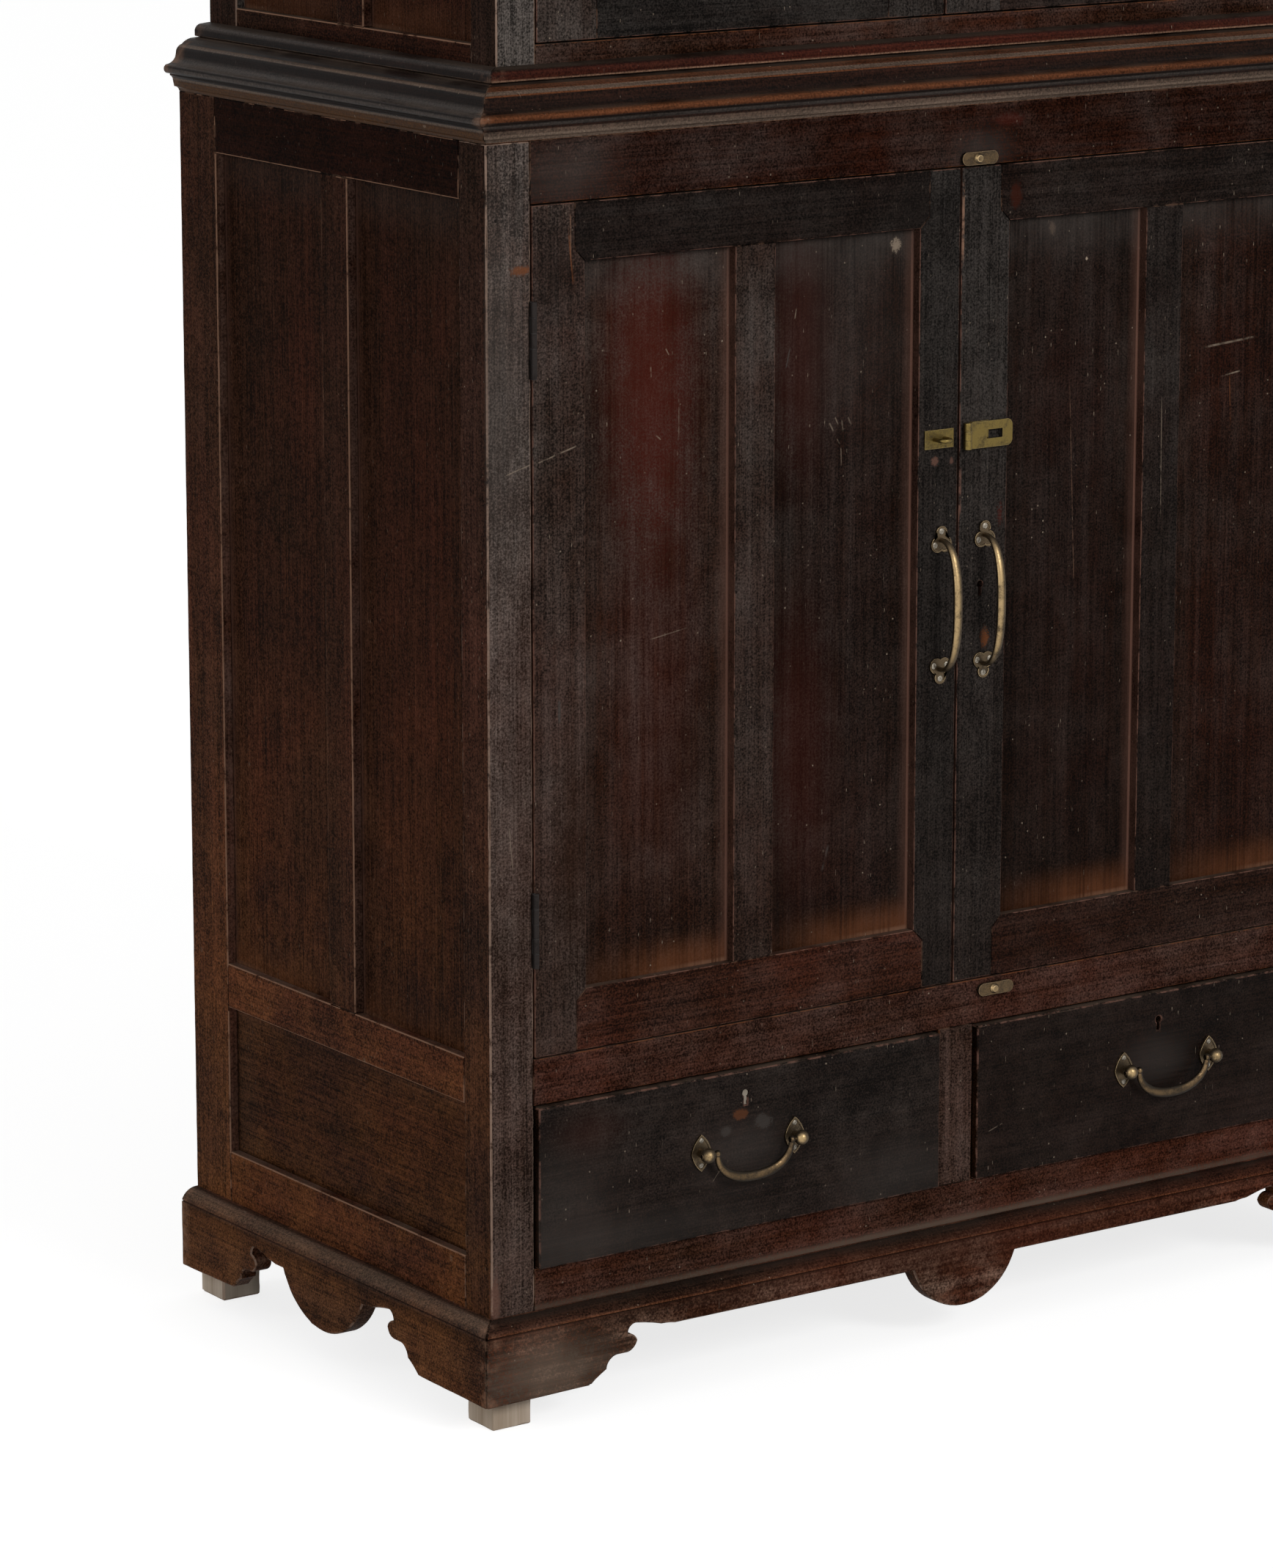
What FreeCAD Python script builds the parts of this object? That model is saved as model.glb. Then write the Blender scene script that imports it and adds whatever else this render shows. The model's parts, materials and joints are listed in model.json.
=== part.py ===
# A tall two-stage panelled cupboard in dark wood: a lower stage with two doors over two drawers on a
# fretted bracket base, a moulded waist, and a narrower upper stage with two doors under a cornice.
# Millimetres. X runs from left to right, Y from the front to the back, Z up from the floor.
import FreeCAD, Part

import math
import os

import Sketcher

SIZES = [
    # the lower carcass
    ("carcass_width", 952, "outside the lower posts"),
    ("carcass_depth", 468, "front face of the lower posts to their back face"),
    ("base_top", 97, "floor to the top edge of the base boards"),
    ("carcass_rise", 960, "base top to the underside of the waist moulding"),
    ("post_face", 42, "width of a lower post seen from the front"),
    ("front_post_depth", 39, "lower front post seen from the side"),
    ("back_post_depth", 58, "lower back post seen from the side"),
    ("foot_height", 60, "floor to the underside of a post"),
    ("foot_side", 38, "side of the square foot block"),
    ("frame_thickness", 22, "rails, muntins and door frames"),
    ("bottom_rail", 35, "bottom rail showing above the base, on the front"),
    ("rail_drop", 20, "bottom rails behind the base boards"),
    ("drawer_opening", 139, "height of the drawer openings"),
    ("mid_rail", 38.5, "rail between the drawers and the doors"),
    ("top_rail", 50, "rail over the lower doors"),
    ("divider_width", 36, "upright between the drawers"),
    ("side_bottom_rail", 44.5, "bottom rail showing above the base, on the sides"),
    ("side_mid_rail", 39, "rail between the upper and lower side panels"),
    ("side_top_rail", 47, "top rail of the sides"),
    ("side_mid_height", 174, "base top to the middle rail of the sides"),
    ("muntin_width", 40, "uprights between two panels"),
    ("panel_thickness", 8, "all panels"),
    ("panel_recess", 9, "frame face to panel face"),
    ("groove_depth", 7, "how far a panel reaches into its frame"),
    ("panel_play", 0.3, "room for a panel to swell in its groove"),
    ("back_board_thickness", 10, "boards of the backs"),
    ("back_board_gap", 1, "between two boards of a back"),
    ("board_thickness", 12, "floors and shelves"),
    ("board_play", 0.3, "round a floor or shelf"),
    ("cleat_side", 12, "square strips that carry floors and shelves"),
    ("lower_shelf_height", 355, "lower shelf above the cupboard floor"),
    # the bracket base
    ("base_height", 70, "base boards, top edge to bottom edge"),
    ("base_thickness", 16.5, "base boards"),
    ("bracket_length", 188.5, "front brackets from the outer corner"),
    ("rear_bracket_length", 156, "rear brackets of the sides"),
    ("front_lobe_width", 110, "lobe in the middle of the front board"),
    ("side_lobe_width", 126, "lobe in the middle of the side boards"),
    ("side_lobe_place", 236, "carcass front to the middle of a side lobe"),
    # the waist, the bead and the cornice
    ("waist_rise", 45, "height of the waist moulding"),
    ("waist_reach", 15, "waist moulding beyond the carcass"),
    ("ring_depth", 36, "waist and cornice inside the faces below them"),
    ("rebate_width", 10, "seat of a top board in its moulding"),
    ("top_board_thickness", 20, "board inside the waist moulding"),
    ("stage_inset", 31, "upper stage behind the lower one, front and sides"),
    ("bead_rise", 11, "bead round the foot of the upper stage"),
    ("bead_reach", 15, "bead beyond the upper posts"),
    ("cornice_rise", 60, "height of the cornice"),
    ("cornice_reach", 48, "cornice beyond the upper posts"),
    ("dust_board_thickness", 12, "board inside the cornice"),
    # the upper stage
    ("upper_rise", 948, "height of the upper posts"),
    ("upper_post_face", 37, "upper post seen from the front"),
    ("upper_post_depth", 36.6, "upper front post seen from the side"),
    ("upper_back_post_depth", 44, "upper back post seen from the side"),
    ("upper_bottom_rail", 26, "bottom rail of the upper stage"),
    ("upper_top_rail", 47, "top rail of the upper stage"),
    ("upper_stile", 67, "stiles of the upper doors"),
    ("upper_door_bottom_rail", 62, "bottom rail of the upper doors"),
    ("upper_door_top_rail", 60, "top rail of the upper doors"),
    ("upper_shelf_spacing", 290, "between the upper floor and shelves"),
    # the lower doors
    ("left_door_width", 427, "lower left door"),
    ("door_play", 1.5, "gap round each door"),
    ("meeting_gap", 2, "gap between the two doors of a stage"),
    ("hinge_stile", 50.5, "hinge stiles, and the right door's meeting stile"),
    ("meeting_stile", 41.5, "left door's meeting stile"),
    ("door_top_rail", 47, "top rail of the lower doors"),
    ("door_bottom_rail", 51.5, "bottom rail of the lower doors"),
    ("shoulder_clip", 9.5, "clipped corner where a rail meets its stile"),
    # the drawers
    ("drawer_play", 2, "gap beside and above a drawer front"),
    ("drawer_proud", 5, "drawer fronts beyond the carcass face"),
    ("drawer_front_thickness", 22, "drawer fronts"),
    ("drawer_back_room", 29, "back of a drawer to the back rails"),
    ("drawer_side", 11, "thickness of the drawer sides"),
    ("drawer_side_height", 112, "height of the drawer sides"),
    ("drawer_bottom", 6, "thickness of the drawer bottoms"),
    ("drawer_bottom_lift", 9, "drawer bottom above the lower edge of the sides"),
    ("drawer_groove", 5, "drawer bottom into its sides and front"),
    ("drawer_lift", 0.5, "drawer sides above their runners"),
    ("drawer_side_play", 1.5, "drawer sides inside the edges of their front"),
    ("runner_height", 24, "drawer runners"),
    ("runner_lap", 16, "runner under a drawer side"),
    ("guide_height", 20, "strips that keep the drawers straight"),
    ("guide_play", 1, "between a drawer side and its guide"),
    # the keyholes
    ("keyhole_radius", 3, "round part of a keyhole"),
    ("keyhole_slot", 2.8, "width of a keyhole's slot"),
    ("keyhole_drop", 10, "middle of a keyhole down to the foot of its slot"),
    ("keyhole_depth", 8, "keyholes, down to the locks that filled them"),
    ("left_keyhole_place", 209.5, "left drawer opening's left edge to its keyhole"),
    ("left_keyhole_drop", 21.5, "drawer opening's top down to the left keyhole"),
    ("right_keyhole_place", 202.6, "right drawer opening's left edge to its keyhole"),
    ("right_keyhole_drop", 26.5, "drawer opening's top down to the right keyhole"),
    ("door_keyhole_place", 23.5, "right door's meeting edge to its keyhole"),
    ("door_keyhole_height", 343.5, "lower door opening's bottom to the door's keyhole"),
    # the butt hinges
    ("hinge_length", 62, "knuckles, end to end"),
    ("hinge_leaf", 1.5, "thickness of a leaf"),
    ("hinge_leaf_width", 19, "leaf from the knuckle's edge"),
    ("hinge_leaf_gap", 0.2, "between two closed leaves"),
    ("knuckle_radius", 2.6, "outside of a knuckle"),
    ("hinge_pin_radius", 1.4, "hinge pin"),
    ("pin_play", 0.05, "pin in its knuckle"),
    ("knuckle_gap", 0.2, "between two knuckles, and from a knuckle to the other leaf"),
    ("hinge_stand", 3, "hinge axis in front of the door face"),
    ("hinge_from_top", 106.5, "door top to the upper hinge's middle"),
    ("hinge_from_bottom", 107, "door bottom to the lower hinge's middle"),
    # the door pulls
    ("pull_reach", 28, "door face to the outside of the bow"),
    ("pull_spacing", 110, "between the two screw plates"),
    ("pull_plate_height", 28.6, "screw plate"),
    ("pull_plate_width", 24, "screw plate"),
    ("pull_plate_thickness", 2, "screw plate"),
    ("pull_bow_width", 8.5, "bow at its middle, seen from the front"),
    ("pull_bow_thickness", 6, "bow at its middle, seen from the side"),
    ("pull_end_width", 5.3, "bow at its ends, seen from the front"),
    ("pull_end_thickness", 3.7, "bow at its ends, seen from the side"),
    ("pull_height", 330.5, "door opening's bottom to the middle of a pull"),
    ("pull_from_left_edge", 17, "left door's meeting edge to its pull"),
    ("pull_from_right_edge", 27, "right door's meeting edge to its pull"),
    ("upper_pull_from_edge", 24, "upper doors' meeting edges to their pulls"),
    ("rim_rise", 0.6, "rim of a pull's or bail's plate, proud of its field"),
    # the bail handles
    ("bail_spacing", 96, "between the two posts of a bail"),
    ("bail_place", 211, "drawer opening's left edge to the middle of the bail"),
    ("bail_rise", 4, "middle of the drawer opening up to the bail's axis"),
    ("bail_drop", 25, "axis to the middle line of the hanging bail"),
    ("bail_width", 9, "bail at its middle, seen from the front"),
    ("bail_end_width", 5, "bail at its ends, seen from the front"),
    ("bail_thickness", 5.6, "bail at its middle, seen from the side"),
    ("bail_end_thickness", 4.4, "bail at its ends, seen from the side"),
    ("finial_length", 14, "leaf that points inwards from each corner of a bail"),
    ("finial_thickness", 4.8, "leaf at each corner of a bail"),
    ("bail_pin_radius", 2, "ends of the bail"),
    ("bail_eye_radius", 3.2, "corner of the bail beside its post"),
    ("post_ball_radius", 6.5, "ball of a bail post"),
    ("post_neck_radius", 4, "neck of a bail post"),
    ("post_stand", 11, "drawer face to the ball's middle"),
    ("rosette_height", 32, "plate behind a bail post"),
    ("rosette_width", 20, "plate behind a bail post"),
    ("rosette_thickness", 2, "plate behind a bail post"),
    # the hasp, its staple and the turn buttons
    ("hasp_height", 22.5, "slotted leaf and fixed leaf"),
    ("hasp_thickness", 1.4, "hasp leaves"),
    ("hasp_length", 47, "hasp axis to the rounded end"),
    ("hasp_corner", 5.6, "rounded corners of the hasp"),
    ("hasp_axis_place", 5.5, "right door's meeting edge to the hasp's axis"),
    ("hasp_axis_stand", 4, "door face to the hasp's axis"),
    ("hasp_knuckle_radius", 3.6, "hasp knuckles"),
    ("hasp_pin_radius", 1.6, "hasp pin"),
    ("hasp_level", 471.7, "lower door opening's bottom to the hasp's middle"),
    ("fixed_leaf_length", 24, "hasp axis to the end of the fixed leaf"),
    ("slot_length", 17, "slot of the hasp"),
    ("slot_height", 7.5, "slot of the hasp"),
    ("slot_place", 28, "hasp axis to the middle of the slot"),
    ("staple_wire", 1.8, "radius of the staple's wire"),
    ("staple_bow", 5.2, "radius of the staple's bow"),
    ("staple_leg", 7, "staple plate to the start of the bow"),
    ("staple_plate", 1.5, "thickness of the staple plate"),
    ("staple_plate_length", 30, "staple plate"),
    ("staple_plate_height", 16, "staple plate"),
    ("screw_hole_radius", 1.8, "open screw holes"),
    ("button_width", 11, "turn buttons"),
    ("button_short_arm", 16.8, "turn button, pivot to its near end"),
    ("button_long_arm", 21, "turn button, pivot to its far end"),
    ("button_thickness", 3, "turn buttons"),
    ("button_stand", 1, "turn button in front of the rail"),
    ("button_boss_radius", 4, "raised seat behind a turn button"),
    ("button_screw_radius", 2, "shank of the turn button's screw"),
    ("button_head_radius", 4.6, "head of the turn button's screw"),
    ("button_head_rise", 2.4, "head of the turn button's screw"),
    ("top_button_place", 486, "carcass left face to the top turn button"),
    ("top_button_height", 6, "lower doors' opening top to the top turn button"),
    ("bottom_button_place", 514, "carcass left face to the bottom turn button"),
    ("bottom_button_drop", 9.5, "lower doors' opening bottom down to the turn button"),
]

BACK_BOARDS = 5
UPPER_SHELVES = 2
HINGE_KNUCKLES = 5
BOW_SECTIONS = 13

# Outline of a fretted bracket, from the corner inwards: shares of its length, of the base's height,
# and the bow of the edge that ends there.
BRACKET_SHARES = [
    (0.549, 0.02, 0.0),
    (0.634, 0.177, -0.06),
    (0.690, 0.329, -0.35),
    (0.749, 0.329, 0.0),
    (0.799, 0.457, 0.30),
    (0.749, 0.550, 0.35),
    (0.798, 0.669, -0.50),
    (0.929, 0.591, -0.04),
    (1.000, 0.571, -0.06),
]
APRON_LEVEL_SHARE = 0.571
FRONT_LOBE_BOW_SHARE = 0.727
SIDE_LOBE_BOW_SHARE = 0.635
BASE_TOP_SHARES = [
    (1.0, 0.0, 0.0),
    (1.0, 0.835, 0.0),
    (0.91, 0.846, 0.0),
    (1.0, 0.857, 0.0),
    (0.12, 1.0, 0.30),
]

# Faces of the mouldings from the bottom up: shares of the reach, of the rise, and the bow.
WAIST_SHARES = [
    (0.0, 0.0, 0.0),
    (0.32, 0.09, -0.35),
    (0.40, 0.21, 0.0),
    (0.59, 0.30, -0.30),
    (0.59, 0.345, 0.0),
    (0.78, 0.345, 0.0),
    (0.80, 0.51, 0.77),
    (0.24, 0.63, -0.25),
    (0.16, 0.755, -0.05),
    (-0.21, 0.87, 0.25),
    (-0.80, 0.97, 0.15),
    (-1.36, 0.985, 0.0),
    (-1.40, 1.0, 0.0),
]
BEAD_SHARES = [(1.0, 0.0, 0.0), (1.0, 0.45, 0.12), (0.55, 0.93, 0.35), (0.0, 1.0, 0.0)]
CORNICE_SHARES = [
    (0.0, 0.0, 0.0),
    (0.13, 0.0, 0.0),
    (0.13, 0.13, 0.60),
    (0.08, 0.15, 0.0),
    (0.60, 0.60, -0.38),
    (0.70, 0.60, 0.0),
    (0.70, 0.68, 0.0),
    (0.94, 0.84, 0.38),
    (1.0, 0.84, 0.0),
    (1.0, 1.0, 0.0),
]

# Screw plate of a door pull: shares of its width and height from its middle, and the bow.
TREFOIL_SHARES = [(0.0, -0.30, 1.30), (0.20, 0.12, 1.30), (-0.20, 0.12, 1.85)]
BOW_ROUNDNESS = 2.5
BAIL_ROUNDNESS = 2.2
# How far round the line of a bent bar the places lie that give its direction.
NUDGE_SHARE = 0.004
ROSETTE_BOW_SHARE = 0.18
# The part of a screw plate that its rim goes round.
PLATE_FIELD_SHARE = 0.85
BUTTON_END_BOW_SHARE = 0.98
CORNER_BOW_SHARE = 0.41
SCREW_TOP_SHARE = 0.6
HALF_TURN = 180
QUARTER_TURN = 90

DOC = FreeCAD.newDocument("panelled_cupboard")
SHEET = DOC.addObject("Spreadsheet::Sheet", "sizes")
SUB_PARTS = []


class Length:
    """A length as a number, with the expression in the sheet's sizes that gives it."""

    def __init__(self, value, text):
        self.value = float(value)
        self.text = text

    def __add__(self, other):
        return joined(self, "+", other)

    def __radd__(self, other):
        return joined(other, "+", self)

    def __sub__(self, other):
        return joined(self, "-", other)

    def __rsub__(self, other):
        return joined(other, "-", self)

    def __mul__(self, factor):
        return Length(self.value * factor, f"({self.text} * ({factor:.6f}))")

    __rmul__ = __mul__

    def __truediv__(self, divisor):
        return Length(self.value / divisor, f"({self.text} / {divisor})")

    def __neg__(self):
        return self * -1


def as_length(value):
    """Zero, or any plain number, as a Length."""
    return value if isinstance(value, Length) else Length(value, f"({float(value):.6f})")


def joined(first, sign, second):
    """The sum or difference of two lengths."""
    first = as_length(first)
    second = as_length(second)
    value = first.value + second.value if sign == "+" else first.value - second.value
    return Length(value, f"({first.text} {sign} {second.text})")


class Sizes:
    """The sheet's sizes by name."""

    def __init__(self, table):
        for row, (alias, value, meaning) in enumerate(table, start=1):
            cell = f"A{row}"
            SHEET.set(cell, str(value))
            SHEET.setAlias(cell, alias)
            setattr(self, alias, Length(value, f"sizes.{alias}"))


S = Sizes(SIZES)
DOC.recompute()


def bind(thing, name, length):
    """Tie one property of an object to the sheet."""
    thing.setExpression(name, as_length(length).text)


def move(thing, x=0, y=0, z=0):
    """Place an object, with each coordinate tied to the sheet."""
    bind(thing, "Placement.Base.x", x)
    bind(thing, "Placement.Base.y", y)
    bind(thing, "Placement.Base.z", z)


def span(first, second):
    """Two limits in rising order."""
    return (first, second) if as_length(first).value < as_length(second).value else (second, first)


def block(name, x, y, z):
    """A square-edged piece between its limits."""
    thing = DOC.addObject("Part::Box", name)
    bind(thing, "Length", x[1] - x[0])
    bind(thing, "Width", y[1] - y[0])
    bind(thing, "Height", z[1] - z[0])
    move(thing, x[0], y[0], z[0])
    return thing


def rod(name, axis, centre, limits, radius, end_radius=None):
    """A round piece along x, y or z, which may taper to its end."""
    kind = "Part::Cylinder" if end_radius is None else "Part::Cone"
    thing = DOC.addObject(kind, name)
    bind(thing, "Height", limits[1] - limits[0])
    bind(thing, "Radius" if end_radius is None else "Radius1", radius)
    if end_radius is not None:
        bind(thing, "Radius2", end_radius)
    turned = {"x": (0, 1, 0), "y": (-1, 0, 0), "z": (0, 0, 1)}[axis]
    angle = 0 if axis == "z" else QUARTER_TURN
    thing.Placement.Rotation = FreeCAD.Rotation(FreeCAD.Vector(*turned), angle)
    if axis == "x":
        move(thing, limits[0], centre[0], centre[1])
    if axis == "y":
        move(thing, centre[0], limits[0], centre[1])
    if axis == "z":
        move(thing, centre[0], centre[1], limits[0])
    return thing


def flat(point):
    """A sketch point as a vector."""
    return FreeCAD.Vector(as_length(point[0]).value, as_length(point[1]).value, 0)


def arc_centre(start, end, bow, index):
    """One coordinate of the centre of a bowed edge."""
    turned = (start[1] - end[1], end[0] - start[0])
    return (start[index] + end[index]) / 2 + turned[index] * ((1 - bow * bow) / (4 * bow))


def draw_outline(sketch, outline):
    """Draw a closed outline whose corners are tied to the sheet. The third value of a corner bows
    the edge that ends on it, to the right of the way it runs when above zero."""
    first = sketch.GeometryCount
    corners = [(as_length(point[0]), as_length(point[1])) for point in outline]
    bows = [point[2] if len(point) > 2 else 0 for point in outline]
    count = len(corners)
    edges = []
    for i in range(count):
        start = flat(corners[i])
        end = flat(corners[(i + 1) % count])
        bow = bows[(i + 1) % count]
        if bow:
            outward = FreeCAD.Vector(end.y - start.y, start.x - end.x, 0)
            edges.append(Part.Arc(start, (start + end) / 2 + outward * (bow / 2), end))
        else:
            edges.append(Part.LineSegment(start, end))
    sketch.addGeometry(edges, False)
    starts = []
    for i in range(count):
        gap = (sketch.getPoint(first + i, 1) - flat(corners[i])).Length
        other = (sketch.getPoint(first + i, 2) - flat(corners[i])).Length
        starts.append(1 if gap < other else 2)
    for i in range(count):
        after = (i + 1) % count
        tie_point(sketch, first + i, starts[i], corners[i])
        ends = (first + i, 3 - starts[i], first + after, starts[after])
        sketch.addConstraint(Sketcher.Constraint("Coincident", *ends))
        if bows[after]:
            turn = flat(corners[after]) - flat(corners[i])
            index = 0 if abs(turn.y) > abs(turn.x) else 1
            centre = arc_centre(corners[i], corners[after], bows[after], index)
            tie(sketch, ("DistanceX", "DistanceY")[index], (-1, 1, first + i, 3), centre)


def tie(sketch, kind, where, length):
    """Add a dimension to a sketch and tie it to the sheet."""
    length = as_length(length)
    number = sketch.addConstraint(Sketcher.Constraint(kind, *where, length.value))
    sketch.setExpression(f"Constraints[{number}]", length.text)


def tie_point(sketch, edge, end, point):
    """Tie a point of a sketch to its two coordinates."""
    tie(sketch, "DistanceX", (-1, 1, edge, end), point[0])
    tie(sketch, "DistanceY", (-1, 1, edge, end), point[1])


def draw_circle(sketch, centre, radius):
    """Draw a circle tied to the sheet."""
    number = sketch.GeometryCount
    sketch.addGeometry(Part.Circle(flat(centre), FreeCAD.Vector(0, 0, 1), radius.value), False)
    tie_point(sketch, number, 3, centre)
    tie(sketch, "Radius", (number,), radius)


def plate(name, view, outline, limits, holes=(), openings=()):
    """A piece drawn in the front, side or plan view and carried square across between its limits."""
    body = DOC.addObject("PartDesign::Body", name)
    sketch = body.newObject("Sketcher::SketchObject", name + "_outline")
    role = {"front": "XZ_Plane", "side": "YZ_Plane", "plan": "XY_Plane"}[view]
    support = [plane for plane in body.Origin.OriginFeatures if plane.Role == role][0]
    sketch.AttachmentSupport = [(support, "")]
    sketch.MapMode = "FlatFace"
    draw_outline(sketch, outline)
    for opening in openings:
        draw_outline(sketch, opening)
    for centre, radius in holes:
        draw_circle(sketch, centre, radius)
    pad = body.newObject("PartDesign::Pad", name + "_pad")
    pad.Profile = (sketch, [""])
    bind(pad, "Length", limits[1] - limits[0])
    if view == "front":
        move(body, 0, limits[1], 0)
    if view == "side":
        move(body, limits[0], 0, 0)
    if view == "plan":
        move(body, 0, 0, limits[0])
    return body


def cut(name, base, tools):
    """A piece less what is cut from it."""
    thing = DOC.addObject("Part::Cut", name)
    thing.Base = base
    thing.Tool = tools[0] if len(tools) == 1 else group(name + "_tools", tools)
    return thing


def fuse(name, pieces):
    """Pieces that are one solid."""
    thing = DOC.addObject("Part::MultiFuse", name)
    thing.Shapes = pieces
    return thing


def common(name, pieces):
    """What several pieces share."""
    thing = DOC.addObject("Part::MultiCommon", name)
    thing.Shapes = pieces
    return thing


def group(name, pieces):
    """Separate solids kept together."""
    thing = DOC.addObject("Part::Compound", name)
    thing.Links = pieces
    return thing


def sub_part(label, pieces):
    """Name a piece, or a group of separate pieces, as one sub-part."""
    thing = pieces[0] if len(pieces) == 1 else group(label + "_group", pieces)
    thing.Label = label
    SUB_PARTS.append(thing)
    return thing


# Places that several pieces share
LEFT = -S.carcass_width / 2
RIGHT = S.carcass_width / 2
FRONT = (S.pull_reach - S.carcass_depth) / 2
BACK = FRONT + S.carcass_depth
FRAME_BACK = FRONT + S.frame_thickness
CARCASS_TOP = S.base_top + S.carcass_rise
OPENING_LEFT = LEFT + S.post_face
OPENING_RIGHT = RIGHT - S.post_face
DRAWER_LOW = S.base_top + S.bottom_rail
DRAWER_HIGH = DRAWER_LOW + S.drawer_opening
DOOR_LOW = DRAWER_HIGH + S.mid_rail
DOOR_HIGH = CARCASS_TOP - S.top_rail
MEETING_EDGE = OPENING_LEFT + S.door_play + S.left_door_width
RAIL_LOW = S.base_top - S.rail_drop
BACK_RAIL_BACK = BACK - S.back_board_thickness
BACK_RAIL_FRONT = BACK_RAIL_BACK - S.frame_thickness
STAGE_LOW = CARCASS_TOP + S.waist_rise
STAGE_HIGH = STAGE_LOW + S.upper_rise
STAGE_LEFT = LEFT + S.stage_inset
STAGE_RIGHT = RIGHT - S.stage_inset
STAGE_FRONT = FRONT + S.stage_inset
STAGE_FRAME_BACK = STAGE_FRONT + S.frame_thickness
UPPER_LEFT = STAGE_LEFT + S.upper_post_face
UPPER_RIGHT = STAGE_RIGHT - S.upper_post_face
UPPER_DOOR_LOW = STAGE_LOW + S.upper_bottom_rail
UPPER_DOOR_HIGH = STAGE_HIGH - S.upper_top_rail


def outline_box(u, v):
    """The four corners between two limits each way."""
    return [(u[0], v[0]), (u[1], v[0]), (u[1], v[1]), (u[0], v[1])]


def grown(limits, length):
    """Limits moved apart at both ends."""
    return (limits[0] - length, limits[1] + length)


def panel_and_room(name, view, face, inward, u, v):
    """A panel behind the face of its frame, and the room that its grooves give it.
    The view is front or side, and inward is 1 or -1 along its depth."""
    depth = span(face + S.panel_recess * inward, face + (S.panel_recess + S.panel_thickness) * inward)
    reach = S.groove_depth - S.panel_play
    made = []
    for suffix, extra in (("panel", reach), ("groove", S.groove_depth)):
        across = grown(u, extra)
        up = grown(v, extra)
        if view == "front":
            made.append(block(f"{name}_{suffix}", across, depth, up))
        else:
            made.append(block(f"{name}_{suffix}", depth, across, up))
    return made


def corner_posts(prefix, x, y, widths, low, high, tools):
    """A left and a right post with the given cuts taken from each."""
    posts = []
    for side, outer in ((1, x[0]), (-1, x[1])):
        limits = span(outer, outer + widths * side)
        post = block(f"{prefix}_post", limits, y, (low, high))
        posts.append(cut(f"{prefix}_post_cut", post, tools[side]))
    return posts


def framed_side(name, side, face, y, rails, openings, muntin):
    """One panelled side. rails are height limits, openings are (depth limits, height limits), and
    muntin is (depth limits, height limits). Returns frame pieces, panels and grooves."""
    x = span(face, face + S.frame_thickness * side)
    panels = []
    grooves = []
    for number, (across, up) in enumerate(openings):
        panel, groove = panel_and_room(f"{name}_{number}", "side", face, side, across, up)
        panels.append(panel)
        grooves.append(groove)
    pieces = [block(f"{name}_rail", x, y, limits) for limits in rails]
    pieces.append(block(f"{name}_muntin", x, *muntin))
    frame = [cut(f"{name}_grooved", piece, grooves) for piece in pieces]
    return frame, panels, grooves


def hinge_places(door_low, door_high):
    """Height limits of the two hinges of a door."""
    middles = (door_low + S.hinge_from_bottom, door_high - S.hinge_from_top)
    return [(middle - S.hinge_length / 2, middle + S.hinge_length / 2) for middle in middles]


def hinge_leaf(name, axis, side, z, own, carries_pin):
    """One leaf of a butt hinge with its knuckles. side is 1 or -1 across the gap, and own tells
    which knuckles are its own, 0 for the even ones or 1 for the odd ones."""
    axis_x, axis_y = axis
    inner = axis_x + S.hinge_leaf_gap / 2 * side
    x = span(inner, inner + S.hinge_leaf * side)
    start = axis_y + S.knuckle_radius + S.knuckle_gap
    pieces = [block(f"{name}_leaf", x, (start, start + S.hinge_leaf_width), z)]
    pitch = (z[1] - z[0]) / HINGE_KNUCKLES
    for number in range(own, HINGE_KNUCKLES, 2):
        low = z[0] + pitch * number + S.knuckle_gap / 2
        high = z[0] + pitch * (number + 1) - S.knuckle_gap / 2
        pieces.append(rod(f"{name}_knuckle", "z", axis, (low, high), S.knuckle_radius))
        tab = (axis_y + S.hinge_pin_radius + S.pin_play, start + S.hinge_leaf)
        pieces.append(block(f"{name}_tab", x, tab, (low, high)))
    bore = rod(f"{name}_bore", "z", axis, grown(z, S.knuckle_gap), S.hinge_pin_radius + S.pin_play)
    made = [cut(f"{name}_bored", fuse(f"{name}_solid", pieces), [bore])]
    if carries_pin:
        made.append(rod(f"{name}_pin", "z", axis, z, S.hinge_pin_radius))
    return made


def hinge_room(name, axis, side, z):
    """The recess that lets a hinge leaf into the edge of a post or stile."""
    axis_x, axis_y = axis
    inner = axis_x + S.hinge_leaf_gap / 2 * side
    start = axis_y + S.knuckle_radius + S.knuckle_gap
    x = span(inner, inner + S.hinge_leaf * side)
    return block(f"{name}_recess", x, (start - S.hinge_leaf, start + S.hinge_leaf_width), z)


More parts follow.
